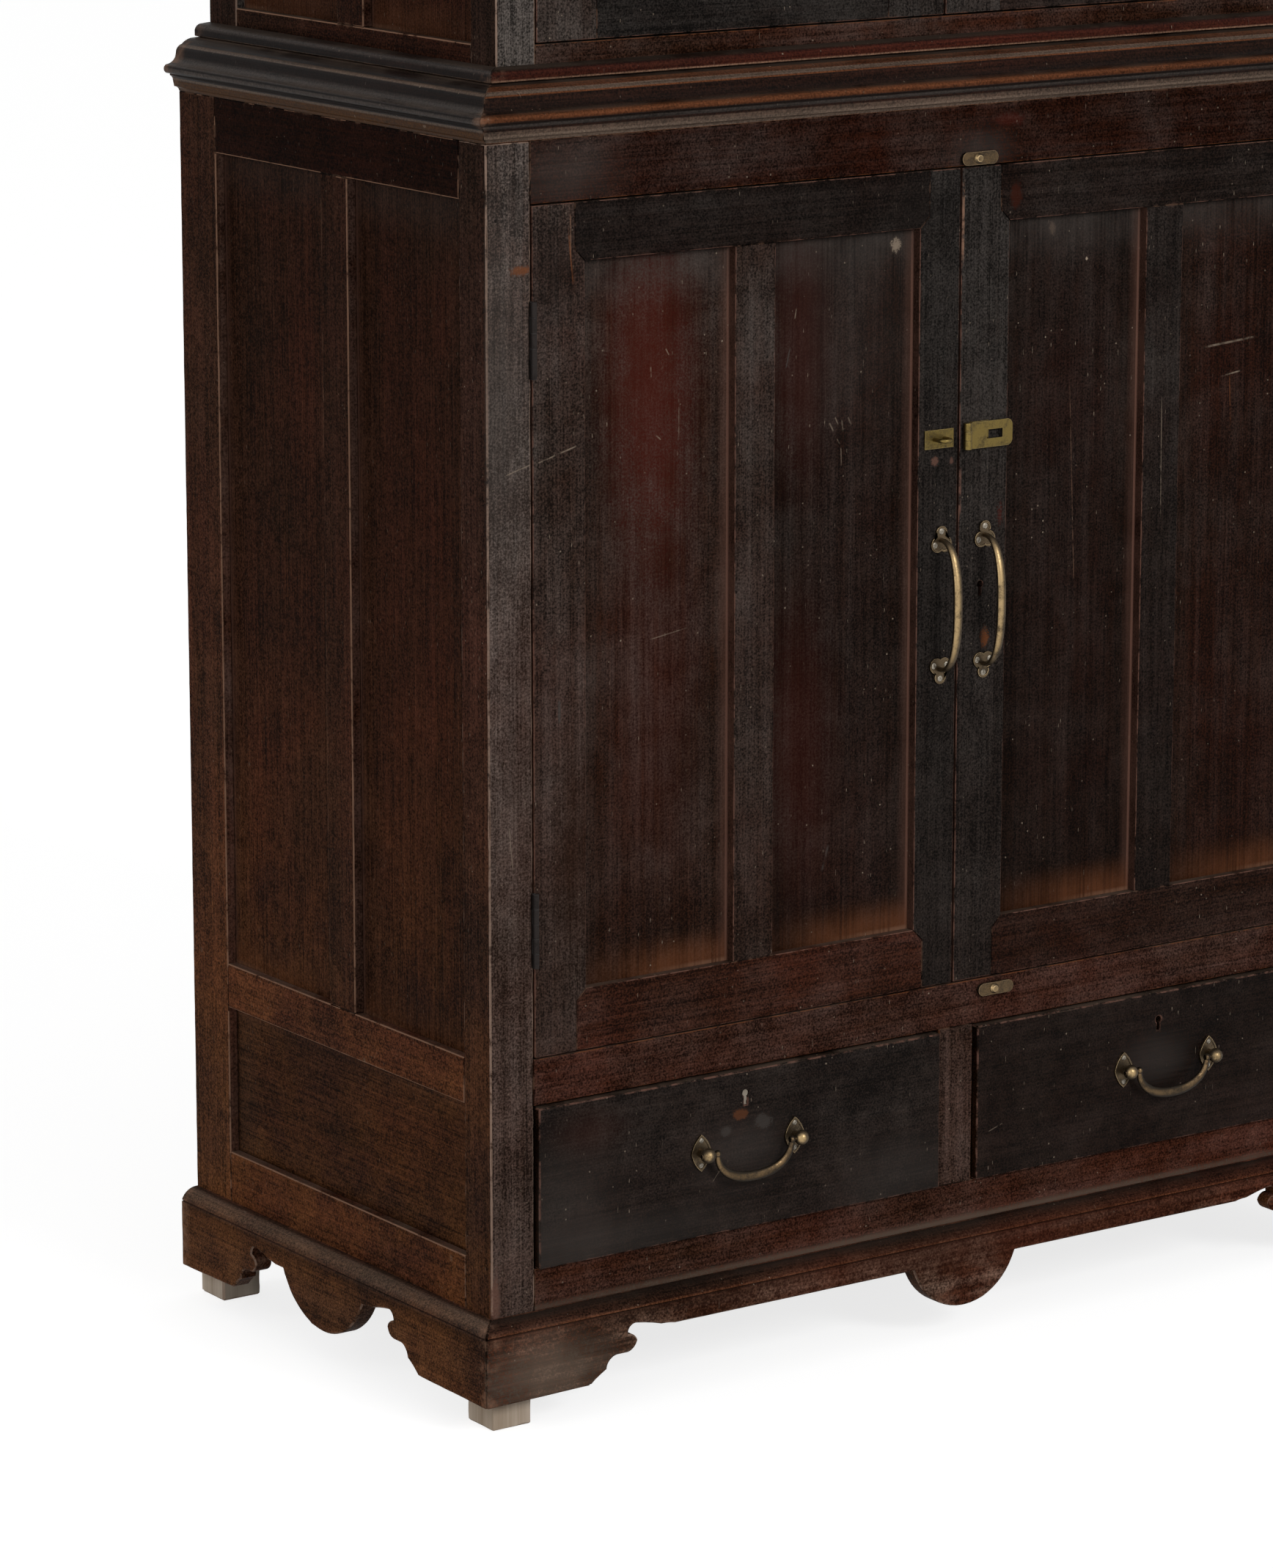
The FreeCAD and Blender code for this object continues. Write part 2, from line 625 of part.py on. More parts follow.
def panelled_door(name, x, z, face, stiles, rails, recesses):
    """A two-panel door. stiles are the left and right widths, rails the bottom and top heights."""
    y = (face, face + S.frame_thickness)
    opening = (x[0] + stiles[0], x[1] - stiles[1])
    height = (z[0] + rails[0], z[1] - rails[1])
    middle = (opening[0] + opening[1]) / 2
    muntin = (middle - S.muntin_width / 2, middle + S.muntin_width / 2)
    panels = []
    grooves = []
    for number, across in enumerate(((opening[0], muntin[0]), (muntin[1], opening[1]))):
        panel, groove = panel_and_room(f"{name}_{number}", "front", face, 1, across, height)
        panels.append(panel)
        grooves.append(groove)
    clip = S.shoulder_clip
    pieces = []
    for side, outer, inner in ((1, x[0], opening[0]), (-1, x[1], opening[1])):
        shoulder = inner - clip * side
        outline = [
            (outer, z[0]),
            (shoulder, z[0]),
            (shoulder, height[0] - clip),
            (inner, height[0]),
            (inner, height[1]),
            (shoulder, height[1] + clip),
            (shoulder, z[1]),
            (outer, z[1]),
        ]
        stile = plate(f"{name}_stile", "front", outline, y)
        pieces.append(cut(f"{name}_stile_cut", stile, grooves + recesses[side]))
    for low, high, edge, out in ((z[0], height[0], height[0], -1), (height[1], z[1], height[1], 1)):
        if out < 0:
            outline = [
                (opening[0] - clip, low),
                (opening[1] + clip, low),
                (opening[1] + clip, edge - clip),
                (opening[1], edge),
                (opening[0], edge),
                (opening[0] - clip, edge - clip),
            ]
        else:
            outline = [
                (opening[0], edge),
                (opening[1], edge),
                (opening[1] + clip, edge + clip),
                (opening[1] + clip, high),
                (opening[0] - clip, high),
                (opening[0] - clip, edge + clip),
            ]
        rail = plate(f"{name}_rail", "front", outline, y)
        pieces.append(cut(f"{name}_rail_cut", rail, grooves))
    upright = block(f"{name}_muntin", muntin, y, height)
    pieces.append(cut(f"{name}_muntin_cut", upright, grooves))
    sub_part(f"{name}_frame", pieces)
    sub_part(f"{name}_panels", panels)


def section_points(shares, reach, rise, start, direction, low):
    """A moulding's face drawn out from a carcass face."""
    return [
        (start + reach * (share_out * direction), low + rise * share_up, bow * direction)
        for share_out, share_up, bow in shares
    ]


def mitred_runs(name, shares, reach, rise, depth, rebate, faces, low):
    """A front run and two side runs of one moulding, mitred at the front corners. faces are the
    left, right, front and back faces that it goes round, and rebate is its seat's width and height."""
    left, right, front, back = faces
    high = low + rise

    def section(start, direction):
        """The moulding's whole section, out from one face."""
        points = section_points(shares, reach, rise, start, direction, low)
        if not rebate:
            return [(start, low)] + points
        seat = start - (depth - rebate[0]) * direction
        inner = start - depth * direction
        shelf = high - rebate[1]
        return [(inner, low)] + points + [(seat, high), (seat, shelf), (inner, shelf)]

    runs = []
    front_section = plate(f"{name}_front", "side", section(front, -1), (left - reach, right + reach))
    plan = [
        (left - reach, front - reach),
        (right + reach, front - reach),
        (right - depth, front + depth),
        (left + depth, front + depth),
    ]
    front_plan = plate(f"{name}_plan", "plan", plan, (low, high))
    runs.append(common(f"{name}_front_run", [front_section, front_plan]))
    for side, face in ((-1, left), (1, right)):
        run = plate(f"{name}_side", "front", section(face, side), (front - reach, back))
        plan = [
            (face + reach * side, front - reach),
            (face - depth * side, front + depth),
            (face - depth * side, back),
            (face + reach * side, back),
        ]
        runs.append(common(f"{name}_side_run", [run, plate(f"{name}_plan", "plan", plan, (low, high))]))
    return runs


def bracket_points(corner, direction, length):
    """The fretted edge of a bracket, from its corner inwards, with the bows of that way round."""
    low = S.base_top - S.base_height
    return [
        (corner + length * (share_along * direction), low + S.base_height * share_up, bow)
        for share_along, share_up, bow in BRACKET_SHARES
    ]


def apron_outline(start, end, lengths, lobe_centre, lobe_width, lobe_bow):
    """The outline of a base board, seen square on: brackets at both ends and a lobe between."""
    low = S.base_top - S.base_height
    level = low + S.base_height * APRON_LEVEL_SHARE
    first = bracket_points(start, 1, lengths[0])
    last = bracket_points(end, -1, lengths[1])
    bows = [0] + [point[2] for point in last[:0:-1]]
    back_way = [(point[0], point[1], bow) for point, bow in zip(last[::-1], bows)]
    points = [(start, low)] + first
    points.append((lobe_centre - lobe_width / 2, level))
    points.append((lobe_centre + lobe_width / 2, level, lobe_bow))
    points += back_way
    points += [(end, low), (end, S.base_top), (start, S.base_top)]
    return points


def base_boards():
    """The mitred base boards. Each is what its face view, its section and its plan share."""
    low = S.base_top - S.base_height
    thick = S.base_thickness
    left = LEFT - thick
    right = RIGHT + thick
    front = FRONT - thick
    outline = apron_outline(
        left, right, (S.bracket_length, S.bracket_length), as_length(0), S.front_lobe_width,
        FRONT_LOBE_BOW_SHARE,
    )
    views = [plate("front_board_face", "front", outline, (front, FRONT))]
    section = [(FRONT, low)] + section_points(BASE_TOP_SHARES, thick, S.base_height, FRONT, -1, low)
    section.append((FRONT, S.base_top))
    views.append(plate("front_board_section", "side", section, (left, right)))
    plan = [(left, front), (right, front), (RIGHT, FRONT), (LEFT, FRONT)]
    views.append(plate("front_board_plan", "plan", plan, (low, S.base_top)))
    sub_part("base_front_apron", [common("front_board", views)])
    for word, side, face in (("left", -1, LEFT), ("right", 1, RIGHT)):
        outer = face + thick * side
        outline = apron_outline(
            front, BACK, (S.bracket_length, S.rear_bracket_length), FRONT + S.side_lobe_place,
            S.side_lobe_width, SIDE_LOBE_BOW_SHARE,
        )
        views = [plate(f"{word}_board_face", "side", outline, span(face, outer))]
        section = [(face, low)] + section_points(BASE_TOP_SHARES, thick, S.base_height, face, side, low)
        section.append((face, S.base_top))
        views.append(plate(f"{word}_board_section", "front", section, (front, BACK)))
        plan = [(outer, front), (face, FRONT), (face, BACK), (outer, BACK)]
        views.append(plate(f"{word}_board_plan", "plan", plan, (low, S.base_top)))
        sub_part(f"base_{word}_apron", [common(f"{word}_board", views)])


def foot_blocks():
    """Four square blocks under the posts."""
    blocks = []
    for x in ((LEFT + S.door_play, 1), (RIGHT - S.door_play, -1)):
        for y in ((FRONT + S.door_play, 1), (BACK - S.door_play, -1)):
            across = span(x[0], x[0] + S.foot_side * x[1])
            along = span(y[0], y[0] + S.foot_side * y[1])
            blocks.append(block("foot", across, along, (as_length(0), S.foot_height)))
    sub_part("foot_blocks", blocks)


def lower_frame():
    """Posts, sides, front rails, back rails and back boards of the lower stage."""
    front_post = (FRONT, FRONT + S.front_post_depth)
    back_post = (BACK - S.back_post_depth, BACK)
    between = (front_post[1], back_post[0])
    mid_low = S.base_top + S.side_mid_height
    mid_high = mid_low + S.side_mid_rail
    bottom = (RAIL_LOW, S.base_top + S.side_bottom_rail)
    top = (CARCASS_TOP - S.side_top_rail, CARCASS_TOP)
    middle = (between[0] + between[1]) / 2
    muntin = (middle - S.muntin_width / 2, middle + S.muntin_width / 2)
    rails = [bottom, (mid_low, mid_high), top]
    openings = [
        (between, (bottom[1], mid_low)),
        ((between[0], muntin[0]), (mid_high, top[0])),
        ((muntin[1], between[1]), (mid_high, top[0])),
    ]
    frames = []
    panels = []
    grooves = {}
    for word, side, face in (("left", 1, LEFT), ("right", -1, RIGHT)):
        made = framed_side(
            f"lower_{word}_side", side, face, between, rails, openings, (muntin, (mid_high, top[0]))
        )
        frames += made[0]
        panels += made[1]
        grooves[side] = made[2]
    sub_part("lower_side_frames", frames)
    sub_part("lower_side_panels", panels)

    axes = lower_hinge_axes()
    rooms = {}
    for side in (1, -1):
        rooms[side] = grooves[side] + [
            hinge_room("lower_post", axes[side], -side, z) for z in lower_hinge_heights()
        ]
    faces = (LEFT, RIGHT)
    upright = (S.foot_height, CARCASS_TOP)
    posts = corner_posts("lower_front", faces, front_post, S.post_face, *upright, rooms)
    sub_part("lower_front_posts", posts)
    posts = corner_posts("lower_back", faces, back_post, S.post_face, *upright, grooves)
    sub_part("lower_back_posts", posts)

    across = (OPENING_LEFT, OPENING_RIGHT)
    depth = (FRONT, FRAME_BACK)
    sub_part(
        "lower_rails",
        [
            block("lower_bottom_rail", across, depth, (RAIL_LOW, DRAWER_LOW)),
            block("lower_mid_rail", across, depth, (DRAWER_HIGH, DOOR_LOW)),
            block("lower_top_rail", across, depth, (DOOR_HIGH, CARCASS_TOP)),
        ],
    )
    half = S.divider_width / 2
    sub_part("drawer_divider", [block("divider", (-half, half), depth, (DRAWER_LOW, DRAWER_HIGH))])
    depth = (BACK_RAIL_FRONT, BACK_RAIL_BACK)
    sub_part(
        "lower_back_rails",
        [
            block("lower_back_bottom_rail", across, depth, (RAIL_LOW, DRAWER_LOW)),
            block("lower_back_top_rail", across, depth, (DOOR_HIGH, CARCASS_TOP)),
        ],
    )
    sub_part("lower_back_boards", back_boards("lower_back_board", across, (RAIL_LOW, CARCASS_TOP)))


def back_boards(name, across, z):
    """Upright boards side by side between the back posts."""
    pitch = (across[1] - across[0]) / BACK_BOARDS
    boards = []
    for number in range(BACK_BOARDS):
        start = across[0] + pitch * number
        gap = S.back_board_gap if number + 1 < BACK_BOARDS else as_length(0)
        boards.append(block(name, (start, start + pitch - gap), (BACK - S.back_board_thickness, BACK), z))
    return boards


def inner_board(name, x, y, notches, z):
    """A floor or shelf between the side frames, notched round the posts."""
    play = S.board_play
    left = x[0] + play
    right = x[1] - play
    wide, front_deep, back_deep = notches
    front = y[0] + play
    back = y[1] - play
    turn_front = y[0] + front_deep + play
    turn_back = y[1] - back_deep - play
    inner_left = left + wide
    inner_right = right - wide
    outline = [
        (inner_left, front),
        (inner_right, front),
        (inner_right, turn_front),
        (right, turn_front),
        (right, turn_back),
        (inner_right, turn_back),
        (inner_right, back),
        (inner_left, back),
        (inner_left, turn_back),
        (left, turn_back),
        (left, turn_front),
        (inner_left, turn_front),
    ]
    return plate(name, "plan", outline, z)


def boards_and_cleats():
    """Floors and shelves of both stages on strips along the sides."""
    cleats = []
    lower_x = (LEFT + S.frame_thickness, RIGHT - S.frame_thickness)
    lower_notches = (
        S.post_face - S.frame_thickness,
        S.front_post_depth - S.frame_thickness,
        S.back_post_depth,
    )
    upper_x = (STAGE_LEFT + S.frame_thickness, STAGE_RIGHT - S.frame_thickness)
    upper_notches = (
        S.upper_post_face - S.frame_thickness,
        S.upper_post_depth - S.frame_thickness,
        S.upper_back_post_depth,
    )
    boards = [
        ("cupboard_floor", lower_x, FRAME_BACK, BACK_RAIL_BACK, lower_notches, DOOR_LOW),
        ("lower_shelf", lower_x, FRAME_BACK, BACK_RAIL_BACK, lower_notches,
         DOOR_LOW + S.lower_shelf_height),
        ("upper_floor", upper_x, STAGE_FRAME_BACK, BACK_RAIL_FRONT, upper_notches, UPPER_DOOR_LOW),
    ]
    for number in range(UPPER_SHELVES):
        top = UPPER_DOOR_LOW + S.upper_shelf_spacing * (number + 1)
        boards.append(("upper_shelf", upper_x, STAGE_FRAME_BACK, BACK_RAIL_BACK, upper_notches, top))
    made = {}
    for name, x, front, back, notches, top in boards:
        z = (top - S.board_thickness, top)
        back_notch = notches[2] - (BACK - back)
        board = inner_board(name + "_board", x, (front, back), (notches[0], notches[1], back_notch), z)
        made.setdefault(name, []).append(board)
        along = (front + notches[1], back - back_notch)
        under = (z[0] - S.cleat_side, z[0])
        cleats.append(block("cleat", (x[0], x[0] + S.cleat_side), along, under))
        cleats.append(block("cleat", (x[1] - S.cleat_side, x[1]), along, under))
    sub_part("cupboard_floor", made["cupboard_floor"])
    sub_part("lower_shelf", made["lower_shelf"])
    sub_part("upper_floor", made["upper_floor"])
    sub_part("upper_shelves", made["upper_shelf"])
    sub_part("shelf_cleats", cleats)


def waist():
    """The mitred waist moulding, the strip behind it and the top board that they carry."""
    faces = (LEFT, RIGHT, FRONT, BACK)
    rebate = (S.rebate_width, S.top_board_thickness)
    runs = mitred_runs(
        "waist", WAIST_SHARES, S.waist_reach, S.waist_rise, S.ring_depth, rebate, faces, CARCASS_TOP
    )
    inner = (LEFT + S.ring_depth, RIGHT - S.ring_depth)
    shelf = STAGE_LOW - S.top_board_thickness
    runs.append(block("waist_back", inner, (BACK - S.frame_thickness, BACK), (CARCASS_TOP, shelf)))
    sub_part("waist_moulding", runs)
    seat = S.ring_depth - S.rebate_width + S.board_play
    board = block("top_board", (LEFT + seat, RIGHT - seat), (FRONT + seat, BACK), (shelf, STAGE_LOW))
    sub_part("lower_top_board", [board])


def drawer_runners():
    """Runners under the drawer sides, and the guides beside them."""
    y = (FRAME_BACK, BACK_RAIL_FRONT)
    z = (DRAWER_LOW - S.runner_height, DRAWER_LOW)
    up = (DRAWER_LOW, DRAWER_LOW + S.guide_height)
    side_y = (FRONT + S.front_post_depth, BACK - S.back_post_depth)
    outer = S.drawer_play + S.drawer_side_play - S.guide_play
    half = S.divider_width / 2
    pieces = [block("middle_runner", (-half - S.runner_lap, half + S.runner_lap), y, z)]
    pieces.append(block("middle_guide", (-half - outer, half + outer), y, up))
    for side, face in ((1, LEFT), (-1, RIGHT)):
        inner = face + S.frame_thickness * side
        edge = face + (S.post_face + S.runner_lap) * side
        pieces.append(block("side_runner", span(face + S.post_face * side, edge), y, z))
        guide = face + (S.post_face + outer) * side
        pieces.append(block("side_guide", span(inner, guide), side_y, up))
    sub_part("drawer_runners", pieces)


def keyhole(name, x, z, face):
    """What is cut from a front for its keyhole."""
    half = S.keyhole_slot / 2
    depth = (face, face + S.keyhole_depth)
    eye = rod(f"{name}_keyhole_eye", "y", (x, z), depth, S.keyhole_radius)
    slot = block(f"{name}_keyhole_slot", (x - half, x + half), depth, (z - S.keyhole_drop, z))
    return fuse(f"{name}_keyhole", [eye, slot])


def drawer(word, x, keyhole_place):
    """A drawer: its front, and its sides, back and bottom behind it."""
    front_x = (x[0] + S.drawer_play, x[1] - S.drawer_play)
    y = (FRONT - S.drawer_proud, FRONT - S.drawer_proud + S.drawer_front_thickness)
    low = DRAWER_LOW + S.drawer_lift
    inner_y = (y[1], BACK_RAIL_FRONT - S.drawer_back_room)
    side_high = low + S.drawer_side_height
    bottom = (low + S.drawer_bottom_lift, low + S.drawer_bottom_lift + S.drawer_bottom)
    side_x = (front_x[0] + S.drawer_side_play, front_x[1] - S.drawer_side_play)
    inside = (side_x[0] + S.drawer_side, side_x[1] - S.drawer_side)
    floor = block(f"{word}_drawer_floor", grown(inside, S.drawer_groove),
                  (y[1] - S.drawer_groove, inner_y[1]), bottom)
    face = block(f"{word}_drawer_face", front_x, y, (low, DRAWER_HIGH - S.drawer_play))
    lock = keyhole(f"{word}_drawer", x[0] + keyhole_place[0], DRAWER_HIGH - keyhole_place[1], y[0])
    sub_part(f"{word}_drawer_front", [cut(f"{word}_drawer_face_cut", face, [floor, lock])])
    pieces = [floor]
    for limits in ((side_x[0], inside[0]), (inside[1], side_x[1])):
        board = block(f"{word}_drawer_side", limits, inner_y, (low, side_high))
        pieces.append(cut(f"{word}_drawer_side_grooved", board, [floor]))
    back_y = (inner_y[1] - S.drawer_side, inner_y[1])
    pieces.append(block(f"{word}_drawer_back", inside, back_y, (bottom[1], side_high)))
    sub_part(f"{word}_drawer_box", pieces)
    return y[0]


def ring_wire(centre, long_way, short_way):
    """An oval section across a bent bar, from its half length and half breadth as vectors."""
    oval = Part.Ellipse(centre + long_way, centre + short_way, centre)
    return Part.Wire([oval.toShape()])


def bent_bar(name, reach_at, across, flat_size, deep_size):
    """A bar lofted along a bent line. reach_at gives its place for a share from 0 to 1. flat_size is
    its size along across at its ends and its middle, and deep_size its size square to that."""
    wires = []
    for number in range(BOW_SECTIONS):
        share = number / (BOW_SECTIONS - 1)
        before, after = max(share - NUDGE_SHARE, 0), min(share + NUDGE_SHARE, 1)
        along = (reach_at(after) - reach_at(before)).normalize()
        swell = math.sin(math.pi * share)
        half_flat, half_deep = [
            (ends.value + (middle.value - ends.value) * swell) / 2
            for ends, middle in (flat_size, deep_size)
        ]
        ways = [across * half_flat, along.cross(across).normalize() * half_deep]
        ways.sort(key=lambda way: -way.Length)
        wires.append(ring_wire(reach_at(share), *ways))
    thing = DOC.addObject("Part::Feature", name)
    thing.Shape = Part.makeLoft(wires, True)
    return thing


def bowed(value, roundness):
    """A cosine or sine drawn out to a squarer bow."""
    return math.copysign(abs(value) ** (2 / roundness), value)


def rimmed_plate(name, outlines, face, thickness):
    """A screw plate whose rim stands proud of its field. The outlines are the rim's two edges."""
    blank = plate(f"{name}_blank", "front", outlines[0], (face - thickness, face))
    field = face - thickness + S.rim_rise
    return cut(name, blank, [plate(f"{name}_field", "front", outlines[1], (field - S.rim_rise * 2, field))])


def door_pull(label, x, z, face):
    """A bow pull with a trefoil screw plate at each end, in one piece."""
    pieces = []
    half = S.pull_spacing / 2
    for end in (-1, 1):
        middle = z + half * end
        outlines = [
            [
                (x + S.pull_plate_width * (across * share),
                 middle + S.pull_plate_height * (up * end * share), bow * end)
                for across, up, bow in TREFOIL_SHARES
            ]
            for share in (1, PLATE_FIELD_SHARE)
        ]
        pieces.append(rimmed_plate(f"{label}_plate", outlines, face, S.pull_plate_thickness))
    thick = S.pull_bow_thickness
    rise = S.pull_reach - thick / 2
    embed = S.pull_plate_thickness / 2

    def place(share):
        """A point on the middle line of the bow."""
        angle = math.pi * share
        height = z.value - half.value * bowed(math.cos(angle), BOW_ROUNDNESS)
        out = embed.value + (rise - embed).value * bowed(math.sin(angle), BOW_ROUNDNESS)
        return FreeCAD.Vector(x.value, face.value - out, height)

    pieces.append(
        bent_bar(f"{label}_bow", place, FreeCAD.Vector(1, 0, 0), (S.pull_end_width, S.pull_bow_width),
                 (S.pull_end_thickness, thick))
    )
    sub_part(label, [fuse(f"{label}_solid", pieces)])


def bail_handle(word, x, z, face):
    """A hanging bail and the two posts with rosettes that it turns in."""
    half = S.bail_spacing / 2
    axis_y = face - S.post_stand
    hole = S.bail_pin_radius + S.pin_play
    inner = half - S.post_ball_radius - S.bail_eye_radius - S.knuckle_gap
    posts = []
    for end in (-1, 1):
        middle = x + half * end
        outlines = [
            [
                (middle, z - S.rosette_height / 2 * share, ROSETTE_BOW_SHARE),
                (middle + S.rosette_width / 2 * share, z, ROSETTE_BOW_SHARE),
                (middle, z + S.rosette_height / 2 * share, ROSETTE_BOW_SHARE),
                (middle - S.rosette_width / 2 * share, z, ROSETTE_BOW_SHARE),
            ]
            for share in (1, PLATE_FIELD_SHARE)
        ]
        rosette = rimmed_plate(f"{word}_rosette", outlines, face, S.rosette_thickness)
        neck = rod(f"{word}_post_neck", "y", (middle, z), (axis_y, face), S.post_neck_radius)
        ball = DOC.addObject("Part::Sphere", f"{word}_post_ball")
        bind(ball, "Radius", S.post_ball_radius)
        move(ball, middle, axis_y, z)
        reach = grown((middle, middle), S.post_ball_radius * 2)
        bore = rod(f"{word}_post_bore", "x", (axis_y, z), reach, hole)
        solid = fuse(f"{word}_post_solid", [rosette, neck, ball])
        posts.append(cut(f"{word}_post", solid, [bore]))
    sub_part(f"{word}_bail_rosettes", posts)

    def place(share):
        """A point on the middle line of the bail."""
        angle = math.pi * share
        along = x.value - inner.value * bowed(math.cos(angle), BAIL_ROUNDNESS)
        drop = S.bail_drop.value * bowed(math.sin(angle), BAIL_ROUNDNESS)
        return FreeCAD.Vector(along, axis_y.value, z.value - drop)

    pieces = [
        bent_bar(
            f"{word}_bail_bow", place, FreeCAD.Vector(0, 1, 0),
            (S.bail_end_thickness, S.bail_thickness), (S.bail_end_width, S.bail_width),
        )
    ]
    for end in (-1, 1):
        corner = x + inner * end
        eye = DOC.addObject("Part::Sphere", f"{word}_bail_eye")
        bind(eye, "Radius", S.bail_eye_radius)
        move(eye, corner, axis_y, z)
        pieces.append(eye)
        leaf = DOC.addObject("Part::Ellipsoid", f"{word}_bail_leaf")
        bind(leaf, "Radius1", S.finial_thickness / 2)
        bind(leaf, "Radius2", S.finial_length / 2)
        bind(leaf, "Radius3", S.finial_thickness / 2)
        move(leaf, corner + (S.bail_eye_radius - S.finial_length / 2) * end, axis_y, z)
        pieces.append(leaf)
        limits = span(corner, x + (half + S.post_ball_radius) * end)
        pieces.append(rod(f"{word}_bail_pin", "x", (axis_y, z), limits, S.bail_pin_radius))
    sub_part(f"{word}_bail", [fuse(f"{word}_bail_solid", pieces)])


def hasp(meeting_edge):
    """The hasp, swung back on the right door, and the staple that it closes on."""
    axis = (meeting_edge + S.hasp_axis_place, FRONT - S.hasp_axis_stand)
    middle = DOOR_LOW + S.hasp_level
    z = (middle - S.hasp_height / 2, middle + S.hasp_height / 2)
    third = S.hasp_height / 3
    reach = S.hasp_knuckle_radius + S.knuckle_gap
    bore = rod("hasp_bore", "z", axis, grown(z, S.knuckle_gap), S.hasp_pin_radius + S.pin_play)

    # the fixed leaf lies on the door behind the axis, and its one knuckle is the middle one
    leaf_x = (axis[0] + reach, axis[0] + S.fixed_leaf_length)
    hole_x = (leaf_x[0] + leaf_x[1]) / 2
    holes = [((hole_x, z[0] + third / 2), S.screw_hole_radius)]
    holes.append(((hole_x, z[1] - third / 2), S.screw_hole_radius))
    face = (FRONT - S.hasp_thickness, FRONT)
    leaf = plate("fixed_leaf", "front", outline_box(leaf_x, z), face, holes)
    own = (z[0] + third + S.knuckle_gap / 2, z[1] - third - S.knuckle_gap / 2)
    knuckle = rod("fixed_knuckle", "z", axis, own, S.hasp_knuckle_radius)
    tab = block("fixed_tab", (axis[0], leaf_x[0] + S.hasp_thickness), face, own)
    solid = cut("fixed_leaf_bored", fuse("fixed_leaf_solid", [leaf, knuckle, tab]), [bore])
    pin = rod("hasp_pin_rod", "z", axis, z, S.hasp_pin_radius)
    sub_part("hasp_fixed_leaf", [solid, pin])

    # the slotted leaf lies in the plane of the axis
    plane = (axis[1] - S.hasp_thickness / 2, axis[1] + S.hasp_thickness / 2)
    start = axis[0] + reach
    end = axis[0] + S.hasp_length
    corner = S.hasp_corner
    outline = [
        (start, z[0]),
        (end - corner, z[0]),
        (end, z[0] + corner, CORNER_BOW_SHARE),
        (end, z[1] - corner),
        (end - corner, z[1], CORNER_BOW_SHARE),
        (start, z[1]),
    ]
    slot_x = (axis[0] + S.slot_place - S.slot_length / 2, axis[0] + S.slot_place + S.slot_length / 2)
    slot_z = (middle - S.slot_height / 2, middle + S.slot_height / 2)
    leaf = plate("slotted_leaf", "front", outline, plane, openings=[outline_box(slot_x, slot_z)])
    pieces = [leaf]
    for low in (z[0], z[1] - third):
        own = (low + S.knuckle_gap / 2, low + third - S.knuckle_gap / 2)
        pieces.append(rod("slotted_knuckle", "z", axis, own, S.hasp_knuckle_radius))
        pieces.append(block("slotted_tab", (axis[0], start + S.hasp_thickness), plane, own))
    sub_part("hasp_slotted_leaf", [cut("slotted_leaf_bored", fuse("slotted_leaf_solid", pieces), [bore])])

    # the staple stands where the slot comes when the hasp is closed
    staple_x = axis[0] - S.slot_place
    leg_y = FRONT - S.staple_plate - S.staple_leg
    ring = DOC.addObject("Part::Torus", "staple_bow")
    bind(ring, "Radius1", S.staple_bow)
    bind(ring, "Radius2", S.staple_wire)
    ring.Angle3 = HALF_TURN
    ring.Placement.Rotation = FreeCAD.Rotation(FreeCAD.Vector(0, 0, 1), HALF_TURN)
    move(ring, staple_x, leg_y, middle)
    half = S.staple_plate_length / 2
    tall = S.staple_plate_height / 2
    pieces = [ring]
    pieces.append(
        block("staple_plate", (staple_x - half, staple_x + half), (FRONT - S.staple_plate, FRONT),
              (middle - tall, middle + tall))
    )
    for end in (-1, 1):
        leg = (staple_x + S.staple_bow * end, middle)
        pieces.append(rod("staple_leg", "y", leg, (leg_y, FRONT - S.staple_plate / 2), S.staple_wire))
    sub_part("hasp_staple", [fuse("staple_solid", pieces)])


def turn_button(word, x, z):
    """A turn button, turned level so that it clears the door, and the screw it turns on."""
    half = S.button_width / 2
    y = (FRONT - S.button_stand - S.button_thickness, FRONT - S.button_stand)
    left = x - S.button_short_arm
    right = x + S.button_long_arm
    outline = [
        (left + half, z - half, BUTTON_END_BOW_SHARE),
        (right - half, z - half),
        (right - half, z + half, BUTTON_END_BOW_SHARE),
        (left + half, z + half),
    ]
    hole = S.button_screw_radius + S.pin_play
    blade = plate(f"{word}_button_blade", "front", outline, y, [((x, z), hole)])
    boss = rod(f"{word}_button_boss", "y", (x, z), (FRONT - S.button_stand, FRONT - S.knuckle_gap),
               S.button_boss_radius)
    bore = rod(f"{word}_button_bore", "y", (x, z), (y[0], FRONT), hole)
    solid = cut(f"{word}_button_bored", fuse(f"{word}_button_solid", [blade, boss]), [bore])
    sub_part(f"{word}_turn_button", [solid])
    head_y = y[0] - S.knuckle_gap
    shank = rod(f"{word}_screw_shank", "y", (x, z), (head_y, FRONT), S.button_screw_radius)
    head = rod(f"{word}_screw_head", "y", (x, z), (head_y - S.button_head_rise, head_y),
               S.button_head_radius * SCREW_TOP_SHARE, S.button_head_radius)
    return fuse(f"{word}_screw", [shank, head])


def lower_hinge_axes():
    """The hinge axes of the lower doors by side, 1 for left."""
    half = S.door_play / 2
    axis_y = FRONT - S.hinge_stand
    return {1: (OPENING_LEFT + half, axis_y), -1: (OPENING_RIGHT - half, axis_y)}


def upper_hinge_axes():
    """The hinge axes of the upper doors by side, 1 for left."""
    half = S.door_play / 2
    axis_y = STAGE_FRONT - S.hinge_stand
    return {1: (UPPER_LEFT + half, axis_y), -1: (UPPER_RIGHT - half, axis_y)}


